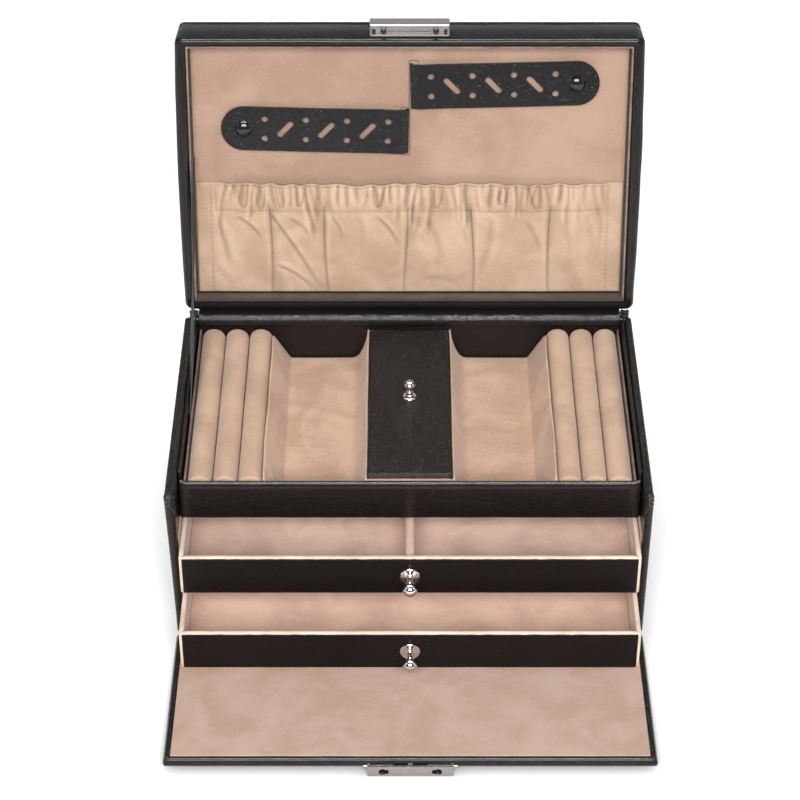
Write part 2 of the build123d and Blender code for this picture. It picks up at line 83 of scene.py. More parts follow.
def soft_block(low, high, radius, counts=(6, 6, 6), bend=4):
    """A block with rounded edges: each point of a gridded box is pulled to one radius from the box inside it."""
    low, high = np.array(low, float), np.array(high, float)
    steps = [spaced(low[k], high[k], radius, counts[k], bend) for k in range(3)]
    points, faces, start = [], [], 0
    for k in range(3):
        a, b = (k + 1) % 3, (k + 2) % 3
        u, v = np.meshgrid(steps[a], steps[b], indexing="ij")
        i = np.arange(u.size).reshape(u.shape)
        quads = grid_faces(i)
        for side, corner in enumerate((low, high)):
            flat = np.empty((u.size, 3))
            flat[:, a], flat[:, b], flat[:, k] = u.ravel(), v.ravel(), corner[k]
            points.append(flat)
            faces.append((quads if side else quads[:, ::-1]) + start)
            start += u.size
    points, faces = np.concatenate(points), np.concatenate(faces)
    _, first, back = np.unique(np.round(points, 4), axis=0, return_index=True, return_inverse=True)
    points, faces = points[first], back.ravel()[faces]
    core = np.clip(points, low + radius, high - radius)
    out = points - core
    return core + out * radius / np.maximum(np.linalg.norm(out, axis=1, keepdims=True), 1e-9), faces


def uneven(points, length, seed, count=7):
    """Soft unevenness from about -1 to 1: sine waves in set random directions, about one length apart."""
    draw = np.random.default_rng(seed)
    way = draw.normal(size=(count, 3))
    way *= (draw.uniform(0.6, 1.5, count) / np.linalg.norm(way, axis=1))[:, None]
    return np.sin(points @ way.T * 2 * math.pi / length + draw.uniform(0, 6.28, count)).mean(1) * 1.7


def swell(x, low, high):
    """A smooth step from 0 at low to 1 at high."""
    t = np.clip((x - low) / (high - low), 0, 1)
    return t * t * (3 - 2 * t)


def joined(*shapes):
    """Several shapes as one: their points in a row, and their faces moved along by the points before them."""
    starts = np.cumsum([0] + [len(p) for p, _ in shapes])
    faces = [tuple(int(i) + s for i in face) for (_, f), s in zip(shapes, starts) for face in f]
    return np.concatenate([p for p, _ in shapes]), faces


def make_piece(name, shape, material, body=None, replaces=(), closed=True):
    """Puts points in millimetres and their faces into a smooth mesh, closes its seams and lets it ride on a body."""
    points, faces = shape
    mesh = bpy.data.meshes.new(name)
    mesh.from_pydata((np.asarray(points) * 0.001).tolist(), [], [list(map(int, f)) for f in faces])
    work = bmesh.new()
    work.from_mesh(mesh)
    bmesh.ops.remove_doubles(work, verts=work.verts, dist=2e-6)
    if closed:
        bmesh.ops.recalc_face_normals(work, faces=work.faces)
    work.to_mesh(mesh)
    work.free()
    mesh.polygons.foreach_set("use_smooth", np.ones(len(mesh.polygons), bool))
    mesh.materials.append(material)
    piece = bpy.data.objects.new(name, mesh)
    bpy.context.scene.collection.objects.link(piece)
    if body:
        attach(piece, body)
    if replaces:
        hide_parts(*replaces)
    return piece


def node(tree, kind, inputs=None, **settings):
    """Adds one shader node, with its settings, and its inputs as values or as links from other nodes."""
    made = tree.nodes.new(kind)
    for key, value in settings.items():
        setattr(made, key, value)
    for key, value in (inputs or {}).items():
        if isinstance(value, bpy.types.NodeSocket):
            tree.links.new(value, made.inputs[key])
        else:
            made.inputs[key].default_value = value
    return made


def shader_group(name, inputs, outputs):
    """An empty node group with named inputs (name, kind, start value) and outputs (name, kind)."""
    group = bpy.data.node_groups.new(name, "ShaderNodeTree")
    for label, kind, value in inputs:
        socket = group.interface.new_socket(label, in_out="INPUT", socket_type=kind)
        if value is not None:
            socket.default_value = value
    for label, kind in outputs:
        group.interface.new_socket(label, in_out="OUTPUT", socket_type=kind)
    return group, group.nodes.new("NodeGroupInput"), group.nodes.new("NodeGroupOutput")


def grain_group():
    """Leather grain: small pebbles between fine furrows, tiny pores, and long soft creases that come and go."""
    group, given, out = shader_group(
        "leather_grain",
        [
            ("Vector", "NodeSocketVector", None), ("Pebbles", "NodeSocketFloat", 900.0),
            ("Creases", "NodeSocketFloat", 0.5),
        ],
        [("Height", "NodeSocketFloat"), ("Worn", "NodeSocketFloat"), ("Patches", "NodeSocketFloat")],
    )
    where = given.outputs["Vector"]
    bent = node(group, "ShaderNodeTexNoise", {"Vector": where, "Scale": 260.0, "Detail": 2.0})
    off = node(
        group, "ShaderNodeVectorMath", {0: bent.outputs["Color"], 1: (0.0011, 0.0011, 0.0011)}, operation="MULTIPLY"
    )
    moved = node(group, "ShaderNodeVectorMath", {0: where, 1: off.outputs[0]}, operation="ADD")
    cells = node(
        group, "ShaderNodeTexVoronoi", {"Vector": moved.outputs[0], "Scale": given.outputs["Pebbles"]},
        feature="DISTANCE_TO_EDGE",
    )
    pebble = node(group, "ShaderNodeMapRange", {"Value": cells.outputs["Distance"], "From Max": 0.16})
    pores = node(group, "ShaderNodeTexNoise", {"Vector": where, "Scale": 2600.0, "Detail": 3.0, "Roughness": 0.7})
    long_way = node(
        group, "ShaderNodeMapping", {"Vector": where, "Rotation": (0.3, 0.5, 0.7), "Scale": (1.0, 2.6, 1.3)}
    )
    crease = node(
        group, "ShaderNodeTexNoise",
        {"Vector": long_way.outputs[0], "Scale": 55.0, "Detail": 4.0, "Roughness": 0.55, "Distortion": 0.8},
    )
    ridge = node(group, "ShaderNodeMapRange", {"Value": crease.outputs["Fac"], "From Min": 0.35, "From Max": 0.7})
    folds = node(group, "ShaderNodeMath", {0: ridge.outputs[0], 1: given.outputs["Creases"]}, operation="MULTIPLY")
    fine = node(group, "ShaderNodeMath", {0: pores.outputs["Fac"], 1: 0.35}, operation="MULTIPLY")
    both = node(group, "ShaderNodeMath", {0: pebble.outputs[0], 1: fine.outputs[0]}, operation="ADD")
    height = node(group, "ShaderNodeMath", {0: both.outputs[0], 1: folds.outputs[0]}, operation="ADD")
    patches = node(group, "ShaderNodeTexNoise", {"Vector": where, "Scale": 16.0, "Detail": 4.0, "Roughness": 0.6})
    wear_and_painted_shade = node(group, "ShaderNodeMapRange", {"Value": crease.outputs["Fac"], "From Min": 0.58, "From Max": 0.78})
    group.links.new(height.outputs[0], out.inputs["Height"])
    group.links.new(wear_and_painted_shade.outputs[0], out.inputs["Worn"])
    group.links.new(patches.outputs["Fac"], out.inputs["Patches"])
    return group


grain = grain_group()


def tone(tree, mask, dark, light):
    """A colour that goes from dark to light with a mask."""
    made = node(tree, "ShaderNodeMix", {"Factor": mask}, data_type="RGBA")
    made.inputs["A"].default_value = (*dark, 1)
    made.inputs["B"].default_value = (*light, 1)
    return made.outputs["Result"]


def new_material(name):
    """A material with its tree, its Principled shader and the place that its patterns read."""
    made = bpy.data.materials.new(name)
    made.use_nodes = True
    tree = made.node_tree
    return made, tree, tree.nodes["Principled BSDF"], tree.nodes.new("ShaderNodeTexCoord").outputs["Object"]


def leather(name, dark, light, rough, pebbles=900.0, creases=0.5, depth=0.00016, shine=0.36, coat=0.2):
    """Dyed leather: nearly black, a little browner and smoother on its patches."""
    made, tree, skin, where = new_material(name)
    pattern = node(tree, "ShaderNodeGroup", node_tree=grain)
    tree.links.new(where, pattern.inputs["Vector"])
    pattern.inputs["Pebbles"].default_value = pebbles
    pattern.inputs["Creases"].default_value = creases
    tree.links.new(tone(tree, pattern.outputs["Patches"], dark, light), skin.inputs["Base Color"])
    wear_and_painted_highlight = node(
        tree, "ShaderNodeMapRange",
        {
            "Value": pattern.outputs["Patches"], "From Min": 0.3, "From Max": 0.7, "To Min": rough + 0.06,
            "To Max": rough - 0.05,
        },
    )
    tree.links.new(wear_and_painted_highlight.outputs[0], skin.inputs["Roughness"])
    bump = node(tree, "ShaderNodeBump", {"Strength": 0.7, "Distance": depth, "Height": pattern.outputs["Height"]})
    tree.links.new(bump.outputs[0], skin.inputs["Normal"])
    skin.inputs["Specular IOR Level"].default_value = shine
    skin.inputs["Coat Weight"].default_value = coat
    skin.inputs["Coat Roughness"].default_value = 0.14
    return made


shell_leather = leather(
    "black_shell_leather", (0.006, 0.005, 0.005), (0.010, 0.008, 0.007), 0.27, creases=0.9, shine=0.2
)
panel_leather = leather(
    "black_panel_leather", (0.004, 0.003, 0.003), (0.009, 0.007, 0.006), 0.25, pebbles=420.0, creases=1.5,
    shine=0.2, coat=0.35, depth=0.0002,
)


def side_panel(sign):
    """One side: a soft block whose outer face leans out towards its top, more on the left, with slight hollows."""
    points, faces = soft_block(
        (side_inner, -half_depth, 0.0), (side_inner + side_thick, half_depth, case_top), 1.7, (2, 56, 40)
    )
    x, y, z = points.T
    share = np.clip((x - side_inner) / side_thick, 0, 1)
    lean = 0.35 if sign > 0 else 2.0
    push = lean * (np.clip(z, 0, case_top) / case_top) ** 1.4 - (0.15 if sign > 0 else 0.4)
    edge = swell(y, -half_depth, -70.0) * swell(z, case_top, 92.0)
    x = x + share * (push + 0.22 * uneven(points, 34.0, 5) * edge)
    front = np.exp(-(((y + 80.8) / 1.1) ** 2)) * share
    x = x + 0.28 * front
    return np.stack([sign * x, y, z], 1), faces


def corner_curl(sign, height, start):
    """The leather's rolled end at a front top corner: a strip wound in one small open loop, seen end on."""
    turn = np.linspace(start, start + 1.75 * math.pi, 40)
    radius = 0.95 + 0.09 * (turn - start)
    half = 0.27
    ring = [np.stack([(radius + d) * np.cos(turn), (radius + d) * np.sin(turn)], 1) for d in (-half, half)]
    outline = np.concatenate([ring[0], ring[1][::-1]])
    depth = np.array([-83.7, -83.5, -82.6, -80.0])
    points = np.empty((len(depth), len(outline), 3))
    points[..., 0] = sign * (130.6 + (sign < 0) * 0.8 + outline[:, 0])
    points[..., 1] = depth[:, None]
    points[..., 2] = height + outline[:, 1]
    i, quads = tube_faces(len(depth), len(outline))
    quads = quads.tolist()
    half_way = len(outline) // 2
    for row in (0, -1):
        inner, outer = i[row, :half_way], i[row, half_way:][::-1]
        quads += np.stack([inner[:-1], inner[1:], outer[1:], outer[:-1]], -1).tolist()
    return points.reshape(-1, 3), quads


def cord(line, radius, count=6):
    """A thin cord: a ring carried along a line that runs mostly along Z, with flat ends."""
    line = np.array(line, float)
    angle = np.linspace(0, 2 * math.pi, count, endpoint=False)
    ring = radius * np.stack([np.cos(angle), np.sin(angle), 0 * angle], 1)
    points = (line[:, None] + ring).reshape(-1, 3)
    return closed_tube(points, len(line), count)


def corner_crease(sign):
    """The cut edge of the turned-in leather: a fine wavy line that runs down and inwards from the curls."""
    t = np.linspace(0, 1, 24)
    x = 131.2 - 3.1 * t + 0.35 * np.sin(7.0 * t)
    line = np.stack([sign * x, np.full_like(t, -82.35), 96.6 - 7.0 * t - 0.4 * np.sin(11.0 * t)], 1)
    return cord(line, 0.2)


cut_edge = leather("leather_cut_edge", (0.03, 0.026, 0.024), (0.075, 0.066, 0.06), 0.35, shine=0.4)
for name, sign in (("right", 1), ("left", -1)):
    make_piece(f"{name}_side_panel", side_panel(sign), shell_leather, "case", [f"case_{name}_side"])
    curls = joined(corner_curl(sign, 100.6, 0.4), corner_curl(sign, 97.5, 2.2), corner_crease(sign))
    make_piece(f"{name}_corner_curl", curls, cut_edge, "case")


def side_turn_in(sign):
    """The turned-in leather at the front of a side's inner face, with a slanting cut edge: a thin skin whose
    front part is full height and whose lower edge runs down and back."""
    y, z = np.meshgrid(np.linspace(0, 1, 30), np.linspace(0, 1, 24), indexing="ij")
    front_end, back = -81.6, -66.5
    yy = front_end + (back - front_end) * y
    low = 86.0 + 9.0 * y
    zz = low + (101.0 - low) * z
    lift = 0.45 * np.minimum(1, np.minimum(z * 14, (1 - y) * 16)) + 0.12 * np.sin(zz * 1.7 + yy)
    front = np.stack([sign * (side_inner - np.clip(lift, 0.02, 1)), yy, zz], -1)
    rear = np.stack([np.full_like(yy, sign * 128.6), yy, zz], -1)
    n, m = yy.shape
    i = np.arange(n * m).reshape(n, m)
    flat = grid_faces(i)
    rim = np.concatenate([i[:-1, 0], i[-1, :-1], i[:0:-1, -1], i[0, :0:-1]])
    walls = np.stack([rim, np.roll(rim, -1), np.roll(rim, -1) + n * m, rim + n * m], -1)
    faces = np.concatenate([flat, flat[:, ::-1] + n * m, walls])
    return np.concatenate([front.reshape(-1, 3), rear.reshape(-1, 3)]), faces


for name, sign in (("right", 1), ("left", -1)):
    make_piece(f"{name}_side_turn_in", side_turn_in(sign), shell_leather, "case")

back_shape = soft_block((-side_inner, back_inner, 0.0), (side_inner, half_depth, case_top), 1.3, (60, 2, 30))
back_shape[0][:, 1] += 0.15 * uneven(back_shape[0], 40.0, 8) * (back_shape[0][:, 1] > 81)
make_piece("case_back_panel", back_shape, shell_leather, "case", ["case_back"])
base_shape = soft_block((-side_inner, -half_depth, 0.0), (side_inner, back_inner, 7.3), 1.9, (60, 40, 3))
make_piece("case_base_board", base_shape, shell_leather, "case", ["case_base"])

# The suede linings of the drawer bays, and the floor of the tray
# Beige suede with a short nap, glued on thin board. Brushed one way it looks lighter, the other way darker,
# so every surface has soft blotches.


def nap_group():
    """Suede nap: wide soft blotches where the hair lies differently, small brushed streaks, and single hairs."""
    group, given, out = shader_group(
        "suede_nap",
        [("Vector", "NodeSocketVector", None), ("Blotches", "NodeSocketFloat", 26.0)],
        [("Shade", "NodeSocketFloat"), ("Hair", "NodeSocketFloat")],
    )
    where = given.outputs["Vector"]
    wide = node(
        group, "ShaderNodeTexNoise",
        {"Vector": where, "Scale": given.outputs["Blotches"], "Detail": 3.0, "Roughness": 0.5, "Distortion": 0.9},
    )
    along = node(group, "ShaderNodeMapping", {"Vector": where, "Rotation": (0.2, 0.1, 0.9), "Scale": (1.0, 3.0, 1.6)})
    brushed = node(
        group, "ShaderNodeTexNoise", {"Vector": along.outputs[0], "Scale": 75.0, "Detail": 3.0, "Roughness": 0.6},
    )
    hair = node(group, "ShaderNodeTexNoise", {"Vector": where, "Scale": 1100.0, "Detail": 3.0, "Roughness": 0.7})
    step_a = node(group, "ShaderNodeMapRange", {"Value": wide.outputs["Fac"], "From Min": 0.36, "From Max": 0.64})
    step_b = node(group, "ShaderNodeMath", {0: brushed.outputs["Fac"], 1: 0.8, 2: -0.4}, operation="MULTIPLY_ADD")
    step_c = node(group, "ShaderNodeMath", {0: hair.outputs["Fac"], 1: 2.2, 2: -1.1}, operation="MULTIPLY_ADD")
    part = node(group, "ShaderNodeMath", {0: step_a.outputs[0], 1: step_b.outputs[0]}, operation="ADD")
    total = node(group, "ShaderNodeMath", {0: part.outputs[0], 1: step_c.outputs[0]}, operation="ADD", use_clamp=True)
    group.links.new(total.outputs[0], out.inputs["Shade"])
    group.links.new(hair.outputs["Fac"], out.inputs["Hair"])
    return group


nap = nap_group()


def suede(name, dark, light, blotches=26.0, depth=0.00022, folds=None, bloom=0.25):
    """Suede: matt, with a pale bloom at grazing angles from the hair, and a colour that shifts with its blotches.
    folds names an attribute of the mesh: above 0 it darkens the nap as painted shade in furrows and recesses, below 0
    it lightens it as a painted highlight on ridges."""
    made, tree, cloth, where = new_material(name)
    pattern = node(tree, "ShaderNodeGroup", node_tree=nap)
    tree.links.new(where, pattern.inputs["Vector"])
    pattern.inputs["Blotches"].default_value = blotches
    colour = tone(tree, pattern.outputs["Shade"], dark, light)
    if folds:
        furrow = node(tree, "ShaderNodeAttribute", attribute_name=folds)
        painted_highlight_mask = node(tree, "ShaderNodeMath", {0: furrow.outputs["Fac"], 1: -1.0}, operation="MULTIPLY", use_clamp=True)
        # The lighter colour is a painted highlight for ridges, the darker one painted shade for furrows.
        wear_and_painted_highlight, painted_furrow_shade = [1.35 * c for c in light], [0.3 * c for c in dark]
        for mask, end in ((painted_highlight_mask.outputs[0], wear_and_painted_highlight), (furrow.outputs["Fac"], painted_furrow_shade)):
            shaded = node(tree, "ShaderNodeMix", {"Factor": mask}, data_type="RGBA")
            tree.links.new(colour, shaded.inputs["A"])
            shaded.inputs["B"].default_value = (*end, 1)
            colour = shaded.outputs["Result"]
    tree.links.new(colour, cloth.inputs["Base Color"])
    rough = node(tree, "ShaderNodeMapRange", {"Value": pattern.outputs["Hair"], "To Min": 0.82, "To Max": 1.0})
    tree.links.new(rough.outputs[0], cloth.inputs["Roughness"])
    bump = node(tree, "ShaderNodeBump", {"Strength": 0.5, "Distance": depth, "Height": pattern.outputs["Hair"]})
    tree.links.new(bump.outputs[0], cloth.inputs["Normal"])
    cloth.inputs["Specular IOR Level"].default_value = 0.2
    cloth.inputs["Sheen Weight"].default_value = bloom
    cloth.inputs["Sheen Roughness"].default_value = 0.5
    cloth.inputs["Sheen Tint"].default_value = (1.0, 0.9, 0.82, 1)
    return made


beige_suede = suede("beige_suede", (0.43, 0.275, 0.195), (0.56, 0.38, 0.28))
# A darker copy of the suede: painted shade for the narrow strips that stand in the shadow of the walls.
shaded_suede = suede(
    "suede_strips_with_painted_shade", (0.13, 0.10, 0.082), (0.22, 0.17, 0.14), blotches=60.0, folds="wall_shade", bloom=0.04
)


def dress(name, material):
    """Gives a CAD node its real finish."""
    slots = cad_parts[name].material_slots
    for slot in slots:
        slot.material = material


for name in ("right_bay_facing", "left_bay_facing", "drawer_shelf", "compartment_box"):
    dress(name, beige_suede)
dress("tray_floor", panel_leather)

# The tray: front panel, side walls and the suede strips beside the ring rolls
# Leather over board. The front panel's top edge is a rolled bead that turns up at its ends, and narrow strips of
# suede, darkened as painted shade, line the walls.

panel_rear = -59.4
tray_front = -58.6
tray_rear = 78.7


def front_panel():
    """A soft block, its top raised at both ends by a smooth step, with a faint groove under its top bead."""
    points, faces = soft_block((-127.7, -62.4, 68.8), (127.7, panel_rear, 94.6), 1.45, (110, 2, 26))
    x, y, z = points.T
    top = swell(z, 86.0, 93.0)
    z = z + 1.5 * top * swell(np.abs(x), 123.0, 127.2)
    front = swell(-y, 61.0, 62.3)
    y = y + front * (0.3 * np.exp(-(((z - 92.3) / 0.45) ** 2)) + 0.12 * uneven(points * (0.5, 1, 1.3), 15.0, 3))
    return np.stack([x, y, z], 1), faces


make_piece("tray_front_panel_leather", front_panel(), panel_leather, "case", ["tray_front_panel"])
for name, sign in (("right", 1), ("left", -1)):
    low_x, high_x = sorted((sign * 125.9, sign * side_inner))
    wall = soft_block((low_x, panel_rear, 72.6), (high_x, back_inner, 100.8), 0.95, (1, 50, 10))
    make_piece(f"tray_{name}_wall_leather", wall, shell_leather, "case", [f"tray_{name}_wall"])
    low_x, high_x = sorted((sign * 123.65, sign * 124.75))
    strip = soft_block((low_x, tray_front, 72.7), (high_x, tray_rear, 95.0), 0.5, (1, 40, 6))
    strip[0][:, 2] += 0.25 * uneven(strip[0], 30.0, 4) * (strip[0][:, 2] > 90)
    make_piece(f"tray_{name}_suede_strip", strip, shaded_suede, "case")

# The ring rolls: three each side
# Firm foam bars with a round top, wrapped in suede and pressed side by side, so that a ring slips between them.
# Each bar's ends are drawn in and closed.

roll_half = 6.72
roll_pitch = 14.0
roll_length = 137.1
roll_start = -58.5
roll_foot = 72.65
first_roll = 123.2 - 6.9
roll_suede = suede("ring_roll_suede", (0.42, 0.28, 0.195), (0.52, 0.36, 0.255), blotches=34.0)


def ring_roll(centre_x, seed):
    """A bar: an outline with a round top and straight sides is carried along Y, drawn in at both ends by a
    quarter circle and closed there, with a slight waviness of its sides."""
    turn = np.linspace(0.0, math.pi, 25)
    arch = np.stack([roll_half * np.cos(turn), 6.85 * np.sin(turn) ** 0.94 + 16.9], 1)
    sides = np.linspace(16.0, 0.6, 12)[:, None]
    foot = np.linspace(6.4, -6.4, 9)[:, None]
    left = np.concatenate([-roll_half + 0 * sides, sides], 1)
    under = np.concatenate([-foot, 0 * foot], 1)
    right = np.concatenate([roll_half + 0 * sides, sides[::-1]], 1)
    outline = np.concatenate([arch, left, under, right])
    ends = np.linspace(0.0, math.pi / 2, 7)
    inset = 1.5 * (1 - np.sin(ends))
    away = 1.5 * (1 - np.cos(ends))
    run = np.concatenate([[0.0], 0.25 * away, np.linspace(3.0, 134.1, 60), roll_length - away[::-1], [roll_length]])
    y = run + roll_start
    draw = np.concatenate([[6.6], 0.25 * inset, np.zeros(60), inset[::-1], [6.6]])
    middle = np.array([0.0, 12.0])
    shrink = 1 - draw / roll_half
    ring = middle + (outline[None] - middle) * shrink[:, None, None]
    points = np.empty((len(y), len(outline), 3))
    points[..., 0], points[..., 1], points[..., 2] = ring[..., 0], y[:, None], ring[..., 1]
    flat = points.reshape(-1, 3)
    wave = uneven(flat, 48.0, seed)
    high = swell(flat[:, 2], 2.0, 14.0)
    flat[:, 0] += centre_x + 0.1 * wave * high
    flat[:, 2] = flat[:, 2] * 0.985 + roll_foot + 0.22 * uneven(flat, 70.0, seed + 9) * high
    return flat, tube_faces(len(y), len(outline))[1]


for name, sign in (("right", 1), ("left", -1)):
    for index in range(3):
        x = sign * (first_roll - roll_pitch * index)
        roll = make_piece(
            f"{name}_ring_roll_{index + 1}_suede", ring_roll(x, 20 + 3 * index + sign), roll_suede, "case",
            [f"{name}_ring_roll_{index + 1}"],
        )

# The open troughs: one each side of the compartment
# A sheet of suede-covered card bent to a trough, its outer wall sloping, its inner wall curving up to the cover.
# It lies on the tray's floor and its rear corners are cut lower.


def rounded_line(corners, radii, count=6):
    """A line through corners, each one cut by a quadratic curve that starts one radius before it."""
    corners = [np.array(c, float) for c in corners]
    out = [corners[0]]
    for before, at, after, radius in zip(corners, corners[1:], corners[2:], radii):
        a = at + (before - at) * min(radius / np.linalg.norm(before - at), 0.5)
        b = at + (after - at) * min(radius / np.linalg.norm(after - at), 0.5)
        t = np.linspace(0, 1, count + 1)[:, None]
        out.extend((1 - t) ** 2 * a + 2 * t * (1 - t) * at + t**2 * b)
    out.append(corners[-1])
    return np.array(out)


def carried(outline, stations, place):
    """A closed outline carried along stations, with flat ends. place turns the outline's points and a station into
    x, y, z."""
    points = np.array([place(outline, s) for s in stations]).reshape(-1, 3)
    return closed_tube(points, len(stations), len(outline))


def trough(sign):
    """The bent sheet: its upper line and, 1.3 mm under it, its lower line, carried along Y with slight waves."""
    upper = [(81.3, 95.9), (80.2, 95.6), (71.0, 73.9), (31.4, 73.9)]
    upper += [(27.6, 81.2), (25.4, 89.5), (24.9, 94.6), (24.4, 95.0)]
    lower = [(23.8, 94.5), (24.2, 88.5), (26.2, 80.0), (30.4, 72.7), (72.0, 72.7), (81.35, 95.0)]
    top = rounded_line(upper, (0.5, 1.3, 3.5, 4.0, 4.0, 0.4, 0.4))
    under = rounded_line(lower, (0.4, 3.0, 3.0, 1.3))
    outline = np.concatenate([top, under])

    def place(line, y):
        x, z = line.T
        wall = swell(np.abs(x - 51.0), 20.0, 26.0)
        wave = 0.25 * math.sin(y / 21.0) + 0.15 * math.sin(y / 8.3 + 1.0)
        wave = wave * wall * np.sign(51.0 - x) * swell(z, 74.5, 84.0) * np.where(x > 51, 1.0, 0.4)
        floor = 0.16 * np.sin(y / 17.0 + x / 9.0) * (1 - wall)
        ear = swell(y, 66.0, tray_rear) ** 2 * 5.2 + swell(-y, 50.0, -tray_front) ** 2 * 1.5
        ear = ear * swell(z, 80.0, 96.0) * (x > 51)
        return np.stack([sign * (x + wave), np.full_like(x, y), z + floor - ear], 1)

    return carried(outline, np.linspace(tray_front, tray_rear, 90), place)


for name, sign in (("right", 1), ("left", -1)):
    make_piece(f"{name}_trough_suede", trough(sign), beige_suede, "case", [f"{name}_tray_liner"])

# The compartment's cover with its knob, and the leather fold that hinges it
# A thin board padded with felt under smooth leather. The knob is turned and chrome plated; its screw draws the
# leather down a little round it.

cover_half = 23.6
knob_y = 11.9
knob_foot = 96.45
cover_leather = leather(
    "black_cover_leather", (0.006, 0.0045, 0.004), (0.017, 0.013, 0.011), 0.27, creases=0.3, shine=0.16, coat=0.05
)


def padded_cover():
    """A soft block with a crown that falls off to the edges, and a dimple round the knob."""
    points, faces = soft_block((-cover_half, -56.4, 94.1), (cover_half, 76.3, 96.2), 1.0, (40, 80, 1))
    x, y, z = points.T
    top = swell(z, 95.3, 96.2)
    crown = (1 - (x / cover_half) ** 2) * (1 - ((y - 10.0) / 66.4) ** 2)
    dimple = np.exp(-(x**2 + (y - knob_y) ** 2) / 34.0)
    z = z + top * (0.75 * np.clip(crown, 0, 1) ** 0.6 - 0.55 * dimple + 0.05 * uneven(points, 24.0, 6))
    return np.stack([x, y, z], 1), faces


cover = make_piece(
    "compartment_cover_padded", padded_cover(), cover_leather, "compartment_lid", ["compartment_cover"],
)


def cover_fold():
    """A leather strip with a valley: its line dips between the cover and the tray's edge, deeper at both ends."""
    t = np.linspace(0, 1, 13)
    y = -58.5 + 2.0 * t
    dip = 1.2 * np.sin(math.pi * t) ** 1.5
    outline = np.concatenate([np.stack([y, 96.1 - dip], 1), np.stack([y, 95.1 - dip], 1)[::-1]])

    def place(line, x):
        sag = 0.5 * swell(abs(x), 20.5, cover_half) + 0.1 * math.sin(x * 0.9)
        return np.stack([np.full(len(line), x), line[:, 0], line[:, 1] - sag], 1)

    return carried(outline, np.linspace(-23.5, 23.5, 60), place)


fold = make_piece(
    "compartment_fold_leather", cover_fold(), cover_leather, replaces=["compartment_cover_fold"],
)
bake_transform(fold)


def turned(profile, count=48):
    """A turned piece: a smooth line of radius and height, swept round the height axis."""
    radius, height = np.array(profile, float).T
    angle = np.linspace(0, 2 * math.pi, count, endpoint=False)
    points = np.stack(
        [radius[:, None] * np.cos(angle), radius[:, None] * np.sin(angle), np.repeat(height[:, None], count, 1)], -1
    )
    return points.reshape(-1, 3), tube_faces(len(radius), count)[1]


def eased(profile, count=5):
    """The profile with every corner cut by a small curve."""
    line = np.array(profile, float)
    radii = [0.32 * min(np.linalg.norm(b - a), np.linalg.norm(c - b)) for a, b, c in zip(line, line[1:], line[2:])]
    return rounded_line(line, radii, count)


def ball(radius, centre, squeeze=1.0, start=-0.72, count=20):
    """The line of a ball from below its waist to its top."""
    angle = np.linspace(math.asin(start), math.pi / 2, count)
    return np.stack([radius * np.cos(angle), centre + squeeze * radius * np.sin(angle)], 1)


def chrome_finish():
    """Plated brass: bright, with a faint haze and hairline polishing marks."""
    made, tree, metal, where = new_material("chrome_plate")
    haze = node(tree, "ShaderNodeTexNoise", {"Vector": where, "Scale": 420.0, "Detail": 3.0})
    tree.links.new(tone(tree, haze.outputs["Fac"], (0.58, 0.56, 0.54), (0.74, 0.72, 0.70)), metal.inputs["Base Color"])
    rough = node(tree, "ShaderNodeMapRange", {"Value": haze.outputs["Fac"], "To Min": 0.07, "To Max": 0.13})
    tree.links.new(rough.outputs[0], metal.inputs["Roughness"])
    marks = node(tree, "ShaderNodeTexNoise", {"Vector": where, "Scale": 2400.0, "Detail": 2.0})
    bump = node(tree, "ShaderNodeBump", {"Strength": 0.02, "Distance": 0.00002, "Height": marks.outputs["Fac"]})
    tree.links.new(bump.outputs[0], metal.inputs["Normal"])
    metal.inputs["Metallic"].default_value = 1.0
    return made


chrome = chrome_finish()
base_line = eased([(0, 0), (4.15, 0), (4.2, 0.5), (3.7, 1.1), (2.3, 1.5), (0, 1.75)])
base_points, base_faces = turned(base_line)
make_piece(
    "compartment_knob_rose", (base_points + (0, knob_y, knob_foot), base_faces), chrome, "compartment_lid",
    ["compartment_knob_base"],
)
stem_line = eased([(0, 1.5), (2.1, 1.5), (1.5, 2.2), (1.35, 3.2), (2.15, 3.7), (2.15, 4.2), (1.5, 4.7), (1.45, 5.4)])
knob_points, knob_faces = turned(np.concatenate([stem_line, ball(3.6, 8.4, 0.92)]))
make_piece(
    "compartment_knob_turned", (knob_points + (0, knob_y, knob_foot), knob_faces), chrome, "compartment_lid",
    ["compartment_knob"],
)

# The two drawers
# Suede-covered boxes: a four-sided frame with soft rims and mitred corners, a padded floor, and a black leather
# panel glued to the front a little inside its edges. The upper one has a padded divider.

drawer_half = 126.8
drawer_height = 25.8
knob_rise = 12.9
mitre_reach = 123.9


def ring_line(x0, x1, y0, y1, radius, counts, bend):
    """Points round a rectangle with rounded corners, always as many, so that nested rings match."""
    out = []
    corners = [(x1, y0, -90), (x1, y1, 0), (x0, y1, 90), (x0, y0, 180)]
    for k, (x, y, first) in enumerate(corners):
        cx = x - math.copysign(radius, x - (x0 + x1) / 2)
        cy = y - math.copysign(radius, y - (y0 + y1) / 2)
        angle = np.radians(np.linspace(first, first + 90, bend + 1))
        arc = np.stack([cx + radius * np.cos(angle), cy + radius * np.sin(angle)], 1)
        out.append(arc)
        nx, ny, turn = corners[(k + 1) % 4]
        ncx = nx - math.copysign(radius, nx - (x0 + x1) / 2)
        ncy = ny - math.copysign(radius, ny - (y0 + y1) / 2)
        start = np.array([ncx + radius * math.cos(math.radians(turn)), ncy + radius * math.sin(math.radians(turn))])
        t = np.linspace(0, 1, counts[k % 2] + 1)[1:-1, None]
        out.append(arc[-1] * (1 - t) + start * t)
    return np.concatenate(out)


